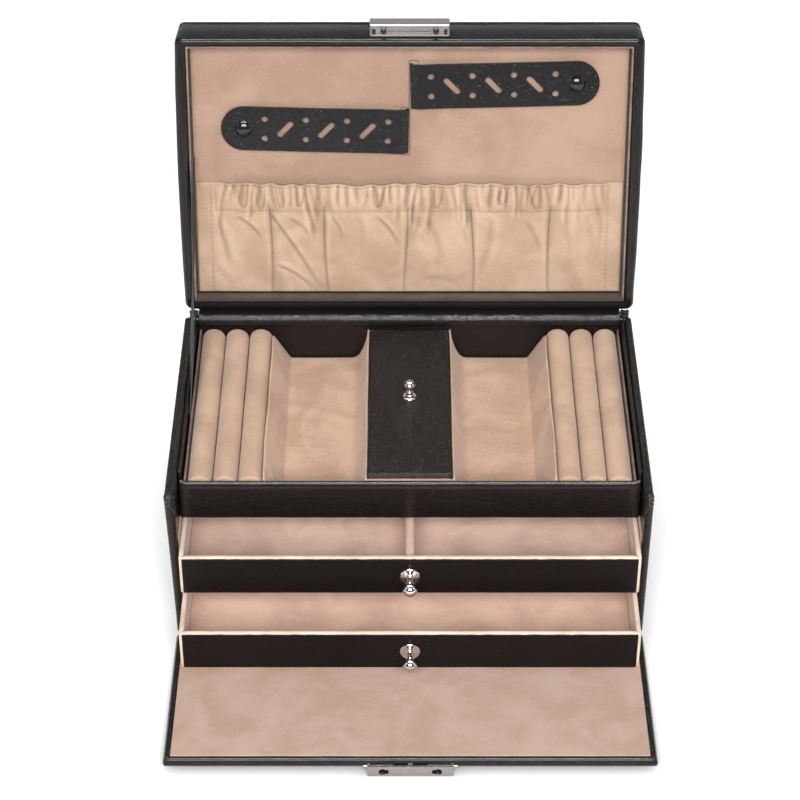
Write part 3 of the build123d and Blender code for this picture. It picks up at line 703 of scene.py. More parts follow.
def framed(box, corner, profile, counts=(16, 24), bend=6, tight=0.5):
    """A closed profile carried round a rectangle: each profile point (inset, height) is a ring of its own."""
    x0, x1, y0, y1 = box
    rings = []
    for inset, height in profile:
        line = ring_line(x0 + inset, x1 - inset, y0 + inset, y1 - inset, max(corner - inset, tight), counts, bend)
        rings.append(np.concatenate([line, np.full((len(line), 1), height)], 1))
    points = np.array(rings)
    n, m = points.shape[:2]
    i = np.arange(n * m).reshape(n, m)
    right, up = np.roll(i, -1, 1), np.roll(i, -1, 0)
    return points.reshape(-1, 3), np.stack([i, right, np.roll(up, -1, 1), up], -1).reshape(-1, 4)


def wall_profile(thick, low, high, round_out, round_in, count=5):
    """A wall's outline: outer face up, a round rim, inner face down."""
    a = np.linspace(0, math.pi / 2, count + 1)
    outer = np.stack([round_out * (1 - np.cos(a)), high - round_out * (1 - np.sin(a))], 1)
    inner = np.stack([thick - round_in * (1 - np.sin(a)), high - round_in * (1 - np.cos(a))], 1)
    up = np.stack([np.zeros(6), np.linspace(low, high - round_out - 0.4, 6)], 1)
    down = np.stack([np.full(6, thick), np.linspace(high - round_in - 0.4, low, 6)], 1)
    return np.concatenate([up, outer, inner, down])


def drawer(name, bottom, front_y, back_y, seed):
    """The suede frame, the floor and the leather front of one drawer, all from its own bottom and front."""
    top = bottom + drawer_height
    box = (-drawer_half, drawer_half, front_y + 0.55, back_y)
    points, faces = framed(box, 1.3, wall_profile(2.7, bottom + 0.1, top, 1.2, 1.0), (30, 60))
    x, y, z = points.T
    rim = swell(z, top - 6.0, top - 0.5)
    z = z + 0.14 * uneven(points, 26.0, seed) * rim
    near = (np.abs(x) > mitre_reach) & (y < box[2] + 2.9)
    across = np.abs((drawer_half - np.abs(x)) - (y - box[2]))
    z = z - 0.6 * np.exp(-((across / 0.3) ** 2)) * near * swell(z, top - 1.5, top - 0.3)
    frame_piece = make_piece(
        f"{name}_drawer_suede_frame", (np.stack([x, y, z], 1), faces), drawer_suede, f"{name}_drawer",
        [f"{name}_drawer_walls"],
    )
    # Painted shade along each mitre's groove near the rim, as a value that the suede reads.
    spot = np.empty(len(frame_piece.data.vertices) * 3)
    frame_piece.data.vertices.foreach_get("co", spot)
    sx, sy, sz = spot.reshape(-1, 3).T * 1000
    seam = np.exp(-((((drawer_half - np.abs(sx)) - (sy - box[2])) / 0.28) ** 2))
    seam = seam * (np.abs(sx) > mitre_reach) * (sz > top - 1.6)
    mitre_painted_shade = frame_piece.data.attributes.new("mitre_shade", "FLOAT", "POINT")
    mitre_painted_shade.data.foreach_set("value", 0.5 * seam)
    floor = soft_block((-124.15, front_y + 3.2, bottom), (124.15, back_y - 2.65, bottom + 2.1), 0.35, (60, 40, 1))
    floor[0][:, 2] += 0.2 * uneven(floor[0], 55.0, seed + 1) * (floor[0][:, 2] > bottom + 1.5)
    make_piece(
        f"{name}_drawer_padded_floor", floor, drawer_floor_suede, f"{name}_drawer", [f"{name}_drawer_floor"],
    )
    face = soft_block((-125.2, front_y, bottom + 0.3), (125.2, front_y + 0.9, top - 0.75), 0.42, (120, 1, 14))
    px, py, pz = face[0].T
    pz = pz + 0.14 * uneven(face[0], 5.0, seed + 4) * swell(pz, top - 3.0, top - 1.0)
    dent = np.exp(-(px**2 + (pz - bottom - knob_rise) ** 2) / 40.0)
    py = py + (py < front_y + 0.3) * (0.16 * dent + 0.03 * uneven(face[0], 20.0, seed + 2))
    make_piece(
        f"{name}_drawer_leather_front", (np.stack([px, py, pz], 1), face[1]), front_leather, f"{name}_drawer",
        [f"{name}_drawer_front"],
    )
    rose = turned(eased([(0, 0), (5.55, 0), (5.65, 0.45), (5.2, 0.9), (3.9, 1.15), (2.5, 1.6), (0, 1.75)]))
    stem = eased([(0, 1.4), (2.7, 1.4), (1.75, 2.3), (1.5, 3.6), (1.5, 6.2), (1.95, 7.0), (2.0, 7.5)])
    knob = turned(np.concatenate([stem, ball(4.1, 10.9, 0.95, start=-0.8, count=28)]))
    centre = np.array([0, front_y, bottom + knob_rise])
    for label, (p, f), part in (("rose", rose, "rosette"), ("turned_knob", knob, "knob")):
        placed = np.stack([p[:, 0], -p[:, 2], p[:, 1]], 1) + centre
        make_piece(f"{name}_drawer_{label}", (placed, f), chrome, f"{name}_drawer", [f"{name}_drawer_{part}"])


drawer_suede = suede("drawer_rim_suede", (0.56, 0.41, 0.32), (0.72, 0.55, 0.44), blotches=60.0, folds="mitre_shade")
drawer_floor_suede = suede("drawer_floor_suede", (0.53, 0.36, 0.285), (0.68, 0.47, 0.375), blotches=30.0)
front_leather = leather(
    "black_front_leather", (0.004, 0.003, 0.003), (0.008, 0.006, 0.005), 0.33, creases=0.25, shine=0.1, coat=0.1
)
drawer("upper", 41.4, -93.8, 47.1, 31)
drawer("lower", 7.9, -118.2, 22.7, 41)
ridge = soft_block((-2.5, -90.7, 43.3), (2.5, 44.4, 64.4), 2.3, (1, 40, 8))
ridge[0][:, 0] += 0.15 * uneven(ridge[0], 40.0, 12)
make_piece(
    "upper_drawer_divider_suede", ridge, drawer_floor_suede, "upper_drawer", ["upper_drawer_divider"]
)

# The lid: leather frame, padded top, suede edge strip and lining
# A board frame covered in leather that is turned in over the rim. The top is padded under the leather and meets the
# sides in a soft seam. Inside, a suede strip covers the walls and a suede panel the top, both darkened with painted
# shade.

lid_turn = math.radians(-103.8)
hinge_y = 83.5
hinge_z = 105.3
rim_z = 102.4
lid_half = 132.5
lid_length = 166.2
lid_box = (-lid_half, lid_half, 0.0, lid_length)


def shut_to_open(x, station, depth):
    """Lid sizes to places: station runs from the hinge edge, depth up from the rim; then the lid is swung open."""
    y = half_depth - station - hinge_y
    z = rim_z + depth - hinge_z
    c, s = math.cos(lid_turn), math.sin(lid_turn)
    return np.stack([x + 0 * y, hinge_y + y * c - z * s, hinge_z + y * s + z * c], -1)


def open_to_shut(points):
    """Places on the open lid back to x, station and depth."""
    y, z = points[:, 1] - hinge_y, points[:, 2] - hinge_z
    c, s = math.cos(-lid_turn), math.sin(-lid_turn)
    return points[:, 0], half_depth - (hinge_y + y * c - z * s), hinge_z + y * s + z * c - rim_z


def on_lid(shape):
    """The shape's x, station and depth, swung open."""
    points, faces = shape
    return shut_to_open(*np.asarray(points, float).T), faces


def puffed(points):
    """The leather stands off the walls a little over its padding: more at the front than at the sides, from the rim
    up to the top. Only the outer faces move."""
    x, s, t = points.T
    along = 0.35 + 0.65 * np.sin(np.clip((s - 8.0) / lid_length, 0, 1) * math.pi)
    out_x = np.sign(x) * 2.1 * along * swell(t, 0.2, 4.0) * swell(np.abs(x), 129.0, 132.0)
    out_s = 2.0 * swell(t, 1.5, 17.0) * swell(s, 162.8, 165.8)
    return np.stack([x + out_x, s + out_s], 1)


lid_leather = leather(
    "black_lid_leather", (0.005, 0.004, 0.004), (0.009, 0.007, 0.007), 0.25, creases=0.8, shine=0.12, coat=0.25
)
rim = [(0.0, 24.3), (0.0, 20.0), (0.0, 12.0), (0.0, 6.0), (0.05, 3.2), (0.35, 1.6), (1.0, 0.55), (2.0, 0.08)]
rim += [(2.9, 0.0)]
rim += [(3.8, 0.1), (4.5, 0.4), (5.0, 0.95), (5.25, 1.8), (5.3, 4.0), (5.3, 14.0), (5.3, 24.0), (3.0, 24.4)]
points, faces = framed(lid_box, 4.2, rim, (46, 70), 8, 0.8)
to_walls = (np.abs(points[:, 0]) - lid_half, points[:, 1] - lid_length, points[:, 1])
outer = sum(np.exp(-(gap**2) / 4.0) for gap in to_walls)
middle = np.array([0.0, 83.0])
away = points[:, :2] - middle
away /= np.linalg.norm(away, axis=1, keepdims=True)
push = 0.16 * uneven(points, 30.0, 51) - 0.4 * np.exp(-(((points[:, 2] - 24.4) / 1.3) ** 2))
points[:, :2] += away * (push * np.clip(outer, 0, 1))[:, None]
points[:, :2] = puffed(points)
points[:, 2] += 0.1 * uneven(points, 18.0, 52) * (points[:, 2] < 1.5)
lid_frame = make_piece("lid_frame_leather", on_lid((points, faces)), lid_leather, "lid", ["lid_frame"])
# The rear wall's rim and inner face are of duller leather. The limits in depth lie between two rows of faces, so
# that rounding can't decide which material a face has.
dull_leather = leather(
    "black_lid_wall_at_hinge", (0.004, 0.003, 0.003), (0.008, 0.006, 0.006), 0.45, shine=0.05, coat=0.0
)
lid_frame.data.materials.append(dull_leather)
middles = np.empty(len(lid_frame.data.polygons) * 3)
lid_frame.data.polygons.foreach_get("center", middles)
x, station, depth = open_to_shut(middles.reshape(-1, 3) * 1000)
rim_or_inner = (np.abs(x) < 131.4) & ((depth < 2.0) | (station > 2.4))
dull = (station < 7.0) & (depth < 15.0) & rim_or_inner
lid_frame.data.polygons.foreach_set("material_index", dull.astype(int))


def padded_top():
    """A soft block whose upper face has a crown, drawn down along its edges, with slight hollows."""
    points, faces = soft_block((-lid_half, 0.0, 23.6), (lid_half, lid_length, 29.2), 2.75, (80, 60, 1), 6)
    x, s, t = points.T
    edge = np.minimum(lid_half - np.abs(x), np.minimum(s, lid_length - s))
    top = swell(t, 26.0, 28.5)
    straight_x, straight_s, centre_s = 128.3, 78.9, 83.1
    past_x, past_s = np.abs(x) - straight_x, np.abs(s - centre_s) - straight_s
    corner = np.clip(np.hypot(np.maximum(past_x, 0), np.maximum(past_s, 0)) - 4.2, 0, 9)
    pull_x, pull_s = np.sign(x) * corner * 0.72, np.sign(s - centre_s) * corner * 0.72
    x = x - np.where(np.abs(x) > straight_x, pull_x, 0)
    s = s - np.where(np.abs(s - centre_s) > straight_s, pull_s, 0)
    t = t + top * (1.35 * (1 - np.exp(-np.maximum(edge, 0) / 13.0)) + 0.1 * uneven(points, 46.0, 61))
    points = np.stack([x, s, t], 1)
    points[:, :2] = puffed(points)
    return points, faces


pad = make_piece("lid_top_padding", on_lid(padded_top()), lid_leather, "lid", ["lid_padding"])
strip_line = [(5.3, 14.6), (5.3, 1.5), (5.5, 1.1), (5.9, 0.95), (6.3, 1.1)]
strip_line += [(6.5, 1.6), (6.5, 5.0), (6.5, 10.0), (6.5, 14.6)]
strip = framed(lid_box, 1.0, strip_line, (46, 70), 2, 0.25)
band = make_piece("lid_suede_strip", on_lid(strip), shaded_suede, "lid", ["lid_edge_strip"])
place = np.empty(len(band.data.vertices) * 3)
band.data.vertices.foreach_get("co", place)
_, station, depth = open_to_shut(place.reshape(-1, 3) * 1000)
# Painted shade on the strip: on the side and front walls it darkens from the rim inwards, on the hinge wall it is dark
# but for a lighter band halfway up, where light falls.
hinge_wall_painted_shade = 1 - 0.75 * np.exp(-(((depth - 7.5) / 3.2) ** 2))
wear_and_painted_shade = np.where(station < 8.0, hinge_wall_painted_shade, swell(depth, 1.3, 2.6))
band.data.attributes.new("wall_shade", "FLOAT", "POINT").data.foreach_set("value", np.clip(wear_and_painted_shade, 0, 0.93))
# The lining is a darker copy of the suede: painted shade that offsets the strong light falling on it.
lid_suede_with_painted_shade = suede("lid_lining_suede_with_painted_shade", (0.27, 0.173, 0.126), (0.34, 0.226, 0.168), blotches=20.0)
dress("lid_lining", lid_suede_with_painted_shade)


def board_finish():
    """Fibre board: pressed brown fibres, only seen through the lining's slits."""
    made, tree, board, where = new_material("fibre_board")
    fibre = node(tree, "ShaderNodeTexNoise", {"Vector": where, "Scale": 700.0, "Detail": 5.0, "Roughness": 0.7})
    tree.links.new(tone(tree, fibre.outputs["Fac"], (0.20, 0.13, 0.08), (0.33, 0.23, 0.15)), board.inputs["Base Color"])
    board.inputs["Roughness"].default_value = 0.9
    return made


dress("lid_top_board", board_finish())

# The elastic pocket in the lid
# Thin suede cloth, stitched down at both sides and tucked in at its foot. An elastic in a casing gathers its upper
# edge, so it stands off the lining in six panels with pleats, ruffles and slanting creases.

lining_depth = 13.0
side_stitch = 116.6
casing_seam = 60.0
hem_seam = 74.4
pocket_hem = 76.2
pleats = (-82.0, -48.8, -2.0, 37.0, 82.8)
creases = [
    ((-80, 59), (-50, 8), 1.1, 1.7), ((-78, 28), (-54, 9), 0.7, 1.6), ((-112, 56), (-103, 22), 0.7, 2.6),
    ((-100, 58), (-84, 42), 0.9, 1.7), ((-70, 58), (-54, 42), 0.6, 2.0), ((-44, 57), (-38, 42), 0.8, 1.5),
    ((-28, 58), (-25, 40), 0.5, 2.2), ((-18, 58), (-4, 38), 0.9, 1.6), ((14, 56), (22, 28), 0.5, 2.8),
    ((8, 58), (3, 40), 0.7, 2.0), ((28, 58), (36, 40), 0.5, 2.0), ((52, 56), (44, 14), 0.7, 3.0),
    ((70, 56), (80, 34), 0.5, 2.4), ((92, 57), (100, 26), 0.5, 3.0), ((106, 58), (111, 34), 0.5, 2.2),
    ((8, 20), (30, 17), 0.3, 3.0), ((-118, 30), (-100, 10), 0.3, 3.0),
]
loops = (-97.0, -87.0, -75.0, -64.5, -18.5, 16.0, 54.0, 74.5)


def pocket_shape():
    """The cloth's distance from the lining over x and station: a billow that rises from the foot, a groove with a
    step beside it at each pleat, U-shaped and single furrows in the casing, and soft ridges along the creases. It also
    gives a value of painted shade in the grooves, furrows, loops and seams and in dashes at the side stitches, and,
    below 0, of painted highlight beside them."""
    draw = np.random.default_rng(11)
    x = np.linspace(-125.0, 125.0, 460)
    station = np.concatenate([np.linspace(7.6, 54, 56), np.linspace(54.6, pocket_hem, 48)])
    xx, ss = np.meshgrid(x, station, indexing="ij")
    side = swell(side_stitch - np.abs(xx), 0.0, 4.0)
    waist = 1 - 0.12 * np.exp(-(((ss - casing_seam) / 3.0) ** 2))
    depth = 0.75 + swell(117.5 - np.abs(xx), 0.0, 24.0) * 4.6 * swell(ss, 4.0, 36.0) * waist
    shade = np.zeros_like(xx)
    for k, at in enumerate(pleats):
        wide = 1.0 + 2.6 * swell(ss, 34.0, 60.0) * (1 - 0.5 * swell(ss, 60.0, 66.0))
        u = (xx - at - 1.2 * np.sin(ss / 19.0 + 2.3 * k)) * (-1) ** k
        groove = np.exp(-np.abs(u / wide) ** 1.4)
        step = np.where(u < 0, np.exp(u / 9.0), 0) * (1 - groove)
        # The pleat's painted shade: dark along its groove and fading to one side, lighter as a painted highlight on the
        # other.
        line = np.exp(-((u / 0.7) ** 2)) + 0.5 * np.where(u > 0, np.exp(-u / (0.5 + 0.8 * wide)), np.exp(u / 0.9))
        line -= 0.45 * np.where(u < 0, np.exp(-(((u + 1.6 + 0.5 * wide) / 1.1) ** 2)), 0)
        fade = 1 - 0.8 * swell(ss, 58.0, 66.0)
        shade += 0.55 * line * swell(ss, 5.0, 9.0) * fade * (0.55 + 0.45 * swell(ss, 15.0, 50.0))
        depth += (0.75 * step - (0.55 + 1.3 * swell(ss, 30.0, 58.0)) * groove) * swell(ss, 5.0, 14.0) * (
            1 - 0.6 * swell(ss, 61.0, 68.0)
        )
    places = np.cumsum(draw.uniform(2.6, 6.8, 70)) - 117.5
    for at in places[places < 116.0]:
        low = draw.uniform(56.5, 63.0) if draw.random() < 0.65 else draw.uniform(40.0, 54.0)
        lean, wide, deep = draw.uniform(-0.2, 0.2), draw.uniform(1.0, 1.9), draw.uniform(0.5, 1.9)
        u = xx - at - lean * (ss - 66.0) - 0.5 * np.sin(ss / 4.5 + at)
        run = swell(ss, low, low + 8.0) * (1 - 0.5 * swell(ss, 73.5, pocket_hem)) * side
        depth -= deep * np.exp(-((u / wide) ** 2)) * run
        # Painted shade in the furrow, and a painted highlight on the cloth beside it.
        painted_furrow_shade = np.exp(-(((u - 0.2) / (0.8 * wide)) ** 2))
        raised = 0.8 * np.exp(-(((u + 1.5 * wide) / (0.8 * wide)) ** 2))
        shade += 0.3 * deep * (painted_furrow_shade - raised) * run
    for at in loops:
        half, foot, lean = draw.uniform(1.8, 3.2), draw.uniform(60.5, 64.0), draw.uniform(-0.12, 0.12)
        u = (xx - at - lean * (ss - 62.0)) / half
        curve = foot + 9.0 * np.abs(u) ** 2.6
        away = (ss - curve) / np.sqrt(1 + (23.4 * np.abs(u) ** 1.6 / half) ** 2)
        depth -= 1.25 * np.exp(-((away / 0.75) ** 2)) * (np.abs(u) < 1.25) * side
        shade += 0.42 * np.exp(-((away / 0.6) ** 2)) * (1 - swell(np.abs(u), 0.9, 1.2)) * side
        depth += 0.5 * np.exp(-(u**2) * 1.5) * swell(ss, foot, foot + 5.0) * side
    for (xa, sa), (xb, sb), high, wide in creases:
        d = np.array([xb - xa, sb - sa], float)
        length = np.linalg.norm(d)
        d /= length
        run = (xx - xa) * d[0] + (ss - sa) * d[1]
        off = (xx - xa) * d[1] - (ss - sa) * d[0] + 1.8 * np.sin(run / length * math.pi)
        cover = swell(run, -1.0, 5.0) * (1 - swell(run, 0.55 * length, length + 1.0))
        ridge = np.exp(-((off / wide) ** 2)) - 0.8 * np.exp(-(((off - 1.5 * wide) / (0.9 * wide)) ** 2))
        depth += 1.3 * high * cover * ridge * side
        # Painted shade beside each crease's ridge, and a painted highlight on the ridge.
        beside = np.exp(-(((off - 1.3 * wide) / (0.6 * wide)) ** 2))
        shade += 0.36 * high * cover * (beside - 0.5 * np.exp(-((off / wide) ** 2))) * side
    depth += (0.3 * np.sin(xx / 15.0 + ss / 13.0) + 0.2 * np.sin(xx / 8.1 - ss / 15.0)) * side * swell(ss, 8, 26)
    depth -= 0.45 * np.exp(-(((ss - casing_seam) / 0.6) ** 2)) * side
    depth -= 0.25 * np.exp(-(((np.abs(xx) - side_stitch) / 0.7) ** 2))
    depth -= 0.5 * np.exp(-(((ss - hem_seam) / 0.5) ** 2)) * side
    lip = 0.5 * np.sin(x / 2.3 + 1.4 * np.sin(x / 11.0)) + 0.45 * np.sin(x / 7.3 + 2.0) + 0.35 * np.sin(x / 19.0)
    station_out = ss + swell(ss, 68.0, pocket_hem) * lip[:, None] * side
    depth = np.clip(depth, 0.62, 6.9)
    points = np.stack([xx, station_out, lining_depth - depth], -1)
    faces = grid_faces(np.arange(xx.size).reshape(xx.shape))
    # Painted shade along the hem seam, the casing seam and, in dashes, the side stitches.
    seam_shade = 0.3 * np.exp(-(((ss - hem_seam) / 0.4) ** 2)) * side
    shade += 0.35 * np.exp(-(((ss - 59.4) / 0.5) ** 2)) * side + seam_shade
    shade += 0.5 * np.exp(-(((np.abs(xx) - side_stitch) / 0.55) ** 2)) * swell(np.sin(ss * 2.4), -0.3, 0.5)
    return points, faces, np.clip(shade, -0.5, 0.9)


pocket_suede = suede("pocket_suede", (0.335, 0.228, 0.154), (0.43, 0.307, 0.221), blotches=30.0, folds="fold_shade")
pocket_grid, pocket_faces, pocket_shade = pocket_shape()
pocket = make_piece(
    "elastic_pocket_cloth", on_lid((pocket_grid.reshape(-1, 3), pocket_faces)), pocket_suede, "lid",
    ["elastic_pocket"], closed=False,
)
mark = pocket.data.attributes.new("fold_shade", "FLOAT", "POINT")
mark.data.foreach_set("value", pocket_shade.ravel())
thick = pocket.modifiers.new("cloth_thickness", "SOLIDIFY")
thick.thickness = 0.0007
thick.offset = 0.0


def stitch_row(line, facing, pitch=2.6, length=1.7, radius=0.17):
    """Stitches along a line of points: every pitch a short thread, a six-sided tube that dips at both ends."""
    line = np.asarray(line, float)
    run = np.concatenate([[0], np.cumsum(np.linalg.norm(np.diff(line, axis=0), axis=1))])
    starts = np.arange(0.6, run[-1] - length, pitch)
    t = np.linspace(0, 1, 5)
    at = starts[:, None] + length * t
    centre = np.stack([np.interp(at, run, line[:, k]) for k in range(3)], -1)
    normal = np.stack([np.interp(at, run, facing[:, k]) for k in range(3)], -1)
    normal /= np.linalg.norm(normal, axis=-1, keepdims=True)
    along = np.gradient(centre, axis=1)
    along /= np.linalg.norm(along, axis=-1, keepdims=True)
    across = np.cross(along, normal)
    centre = centre + normal * (0.32 * np.sin(math.pi * t) - 0.06)[None, :, None]
    angle = np.linspace(0, 2 * math.pi, 6, endpoint=False)
    girth = radius * (0.45 + 0.55 * np.sin(math.pi * t) ** 0.5)
    cos, sin = np.cos(angle)[None, None, :, None], np.sin(angle)[None, None, :, None]
    rings = centre[:, :, None] + girth[None, :, None, None] * (cos * normal[:, :, None] + sin * across[:, :, None])
    count, n, m = rings.shape[:3]
    i = np.arange(count * n * m).reshape(count, n, m)
    nxt = np.roll(i, -1, 2)
    tube = np.stack([i[:, :-1], nxt[:, :-1], nxt[:, 1:], i[:, 1:]], -1).reshape(-1, 4).tolist()
    caps = i[:, 0, ::-1].tolist() + i[:, -1].tolist()
    return rings.reshape(-1, 3), tube + caps


def thread_finish(name, dark, light):
    """Sewing thread: two plies twisted, matt."""
    made, tree, thread, where = new_material(name)
    ply = node(tree, "ShaderNodeTexNoise", {"Vector": where, "Scale": 3200.0, "Detail": 2.0})
    tree.links.new(tone(tree, ply.outputs["Fac"], dark, light), thread.inputs["Base Color"])
    thread.inputs["Roughness"].default_value = 0.8
    return made


beige_thread = thread_finish("beige_thread", (0.36, 0.24, 0.16), (0.50, 0.36, 0.25))


def pocket_line(column=None, row=None):
    """The cloth's points and outward directions along one column or row of its grid."""
    open_grid = shut_to_open(*pocket_grid.reshape(-1, 3).T).reshape(pocket_grid.shape)
    du, dv = np.gradient(open_grid, axis=0), np.gradient(open_grid, axis=1)
    normal = np.cross(dv, du)
    normal /= np.linalg.norm(normal, axis=-1, keepdims=True)
    pick = (column, slice(None)) if row is None else (slice(None), row)
    normal = normal[pick]
    if normal[:, 1].mean() > 0:
        normal = -normal
    return open_grid[pick] + 0.38 * normal, normal


middle_column, low_row = 230, 10
row = int(np.argmin(np.abs(pocket_grid[middle_column, :, 1] - casing_seam)))
edge = [int(np.argmin(np.abs(pocket_grid[:, low_row, 0] - x))) for x in (-side_stitch, side_stitch)]
threads = joined(*[stitch_row(*pocket_line(row=row))] + [stitch_row(*pocket_line(column=k)) for k in edge])
make_piece("pocket_stitches", threads, beige_thread, "lid")


def webbing_finish(name, dark, light, count):
    """Woven tape: two crossing rows of threads from sine waves."""
    made, tree, tape, where = new_material(name)
    warp = node(tree, "ShaderNodeTexWave", {"Vector": where, "Scale": count, "Distortion": 0.3}, bands_direction="X")
    weft = node(tree, "ShaderNodeTexWave", {"Vector": where, "Scale": count, "Distortion": 0.3}, bands_direction="Z")
    weave = node(tree, "ShaderNodeMath", {0: warp.outputs["Fac"], 1: weft.outputs["Fac"]}, operation="MULTIPLY")
    tree.links.new(tone(tree, weave.outputs[0], dark, light), tape.inputs["Base Color"])
    bump = node(tree, "ShaderNodeBump", {"Strength": 0.4, "Distance": 0.0001, "Height": weave.outputs[0]})
    tree.links.new(bump.outputs[0], tape.inputs["Normal"])
    tape.inputs["Roughness"].default_value = 0.75
    return made


dress("pocket_elastic", webbing_finish("woven_elastic", (0.45, 0.40, 0.33), (0.7, 0.65, 0.56), 380.0))

# The two earring straps
# Smooth black leather straps with punched holes and slanting slots. The root goes through a stitched slit in the
# lining; the round end closes on a black press stud.

straps = (("right", 1, 134.6), ("left", -1, 107.6))
stud_reach = 96.0
strap_tilt = math.radians(1.3)
strap_leather = leather(
    "black_strap_leather", (0.004, 0.004, 0.005), (0.009, 0.009, 0.010), 0.26, pebbles=1100.0, creases=0.6,
    depth=0.0002, shine=0.22, coat=0.2,
)


def eased_node(node_name, name, material, body, width, cuts=None, reshape=None):
    """A copy of a CAD piece with its flat faces merged, cut across where it will bend, and its edges eased."""
    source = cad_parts[node_name].data
    work = bmesh.new()
    work.from_mesh(source)
    bmesh.ops.remove_doubles(work, verts=work.verts, dist=1e-6)
    bmesh.ops.dissolve_limit(work, angle_limit=0.02, verts=work.verts, edges=work.edges)
    for point, normal in cuts or ():
        everything = work.verts[:] + work.edges[:] + work.faces[:]
        bmesh.ops.bisect_plane(work, geom=everything, plane_co=point, plane_no=normal, dist=1e-7)
    mesh = bpy.data.meshes.new(name)
    work.to_mesh(mesh)
    work.free()
    if reshape:
        points = np.empty(len(mesh.vertices) * 3)
        mesh.vertices.foreach_get("co", points)
        mesh.vertices.foreach_set("co", (reshape(points.reshape(-1, 3) * 1000) / 1000).ravel())
    mesh.polygons.foreach_set("use_smooth", np.ones(len(mesh.polygons), bool))
    mesh.materials.clear()
    mesh.materials.append(material)
    piece = bpy.data.objects.new(name, mesh)
    bpy.context.scene.collection.objects.link(piece)
    soft = piece.modifiers.new("eased_edges", "BEVEL")
    soft.width = width
    soft.segments = 3
    soft.limit_method = "ANGLE"
    soft.angle_limit = math.radians(38)
    even = piece.modifiers.new("even_normals", "WEIGHTED_NORMAL")
    even.keep_sharp = True
    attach(piece, body)
    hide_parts(node_name)
    return piece


def strap_bend(root):
    """The strap's root, at a station, dips into its slit, and its middle stands off the lining a little."""

    def reshape(points):
        x, station, depth = open_to_shut(points)
        reach = np.abs(x)
        dip = 1.5 * np.exp(-((reach / 2.6) ** 2)) - 0.9 * np.exp(-(((reach - 7.0) / 4.5) ** 2))
        lift = 0.5 * np.sin(np.clip(reach / stud_reach, 0, 1) * math.pi)
        curl = 0.012 * (station - root) * np.exp(-reach / 30.0)
        return shut_to_open(x, station, depth + dip - lift + curl)

    return reshape


def stud_shape(station, sign):
    """A domed stud: a smooth cap on a thin flange, turned about the lid's depth."""
    cap = eased([(0, 0.4), (4.9, 0.4), (5.15, 0.05), (5.1, -0.3), (4.75, -0.55)])
    angle = np.linspace(0.1, math.pi / 2, 14)
    dome = np.stack([4.6 * np.cos(angle), -0.5 - 2.0 * np.sin(angle)], 1)
    points, faces = turned(np.concatenate([cap, dome]))
    x = sign * stud_reach * math.cos(strap_tilt)
    return on_lid((points + (x, station + stud_reach * math.sin(strap_tilt), 9.4), faces))


def enamel_finish():
    """Black enamelled metal: deep gloss with a few pale rub marks."""
    made, tree, enamel, where = new_material("black_enamel")
    spots = node(tree, "ShaderNodeTexNoise", {"Vector": where, "Scale": 900.0, "Detail": 3.0})
    colour = tone(tree, spots.outputs["Fac"], (0.006, 0.006, 0.006), (0.014, 0.013, 0.013))
    tree.links.new(colour, enamel.inputs["Base Color"])
    rough = node(tree, "ShaderNodeMapRange", {"Value": spots.outputs["Fac"], "To Min": 0.05, "To Max": 0.16})
    tree.links.new(rough.outputs[0], enamel.inputs["Roughness"])
    enamel.inputs["Specular IOR Level"].default_value = 0.3
    enamel.inputs["Coat Weight"].default_value = 0.3
    enamel.inputs["Coat Roughness"].default_value = 0.04
    return made


enamel = enamel_finish()
for name, sign, station in straps:
    cuts = [((sign * d / 1000, 0, 0), (1, 0, 0)) for d in (1.2, 2.0, 2.8, 3.8, 4.8, 6.0, 7.4, 9.0)]
    cuts += [((sign * d / 1000, 0, 0), (1, 0, 0)) for d in np.arange(16.0, 92.0, 6.0)]
    eased_node(
        f"{name}_earring_strap", f"{name}_strap_leather", strap_leather, f"{name}_strap", 0.0006,
        cuts, strap_bend(station),
    )
    make_piece(
        f"{name}_strap_press_stud", stud_shape(station, sign), enamel, f"{name}_strap", [f"{name}_strap_stud"],
    )
    dress(f"{name}_strap_root", strap_leather)
dress("strap_sockets", enamel)


def slit_edging(station, sign):
    """The lining's stitched slit: a thin raised outline round the strap's root. Its dark brown is partly its own
    colour and partly painted shadow beside the root.
    """
    box = (-0.5, 5.2, -14.6, 14.6)
    profile = [(0.0, 13.05), (0.0, 12.8), (0.15, 12.68), (0.4, 12.68), (0.5, 12.8), (0.5, 13.05)]
    points, faces = framed(box, 0.8, profile, (20, 4), 4, 0.2)
    x, s, t = points.T
    s = s + 0.5 * sign
    placed = np.stack([sign * (x * math.cos(strap_tilt)), station + s + x * math.sin(strap_tilt), t], 1)
    return on_lid((placed, faces))


# Dark brown thread colour, which also serves as painted shadow along the strap's root.
brown_edge_and_painted_shadow = thread_finish("brown_slit_edge_and_painted_shadow", (0.10, 0.06, 0.04), (0.18, 0.115, 0.08))
for name, sign, station in straps:
    make_piece(f"{name}_slit_edging", slit_edging(station, sign), brown_edge_and_painted_shadow, "lid")

# The leather hinge, the flap's leather hinge, and the stay
# One wide strip of leather is glued over the case's back edge and along the lid's back wall. It wrinkles where it
# folds. The stay is a flat black ribbon from the lid's left wall to the tray's left wall.


def thick_strip(line, half, wrinkle, x_half, count):
    """A strip: a line in Y and Z, and the same line moved out by its normal, carried along X with wrinkles."""
    line = np.asarray(line, float)
    along = np.gradient(line, axis=0)
    along /= np.linalg.norm(along, axis=1, keepdims=True)
    normal = np.stack([-along[:, 1], along[:, 0]], 1)
    t = np.linspace(0, 1, len(line))

    def place(_, x):
        bump = wrinkle(x, t)
        a = line + normal * (half + bump)[:, None]
        b = line - normal * (half - 0.4 * bump)[:, None]
        both = np.concatenate([a, b[::-1]])
        return np.concatenate([np.full((len(both), 1), x), both], 1)

    return carried(np.zeros((2 * len(line), 2)), np.linspace(-x_half, x_half, count), place)


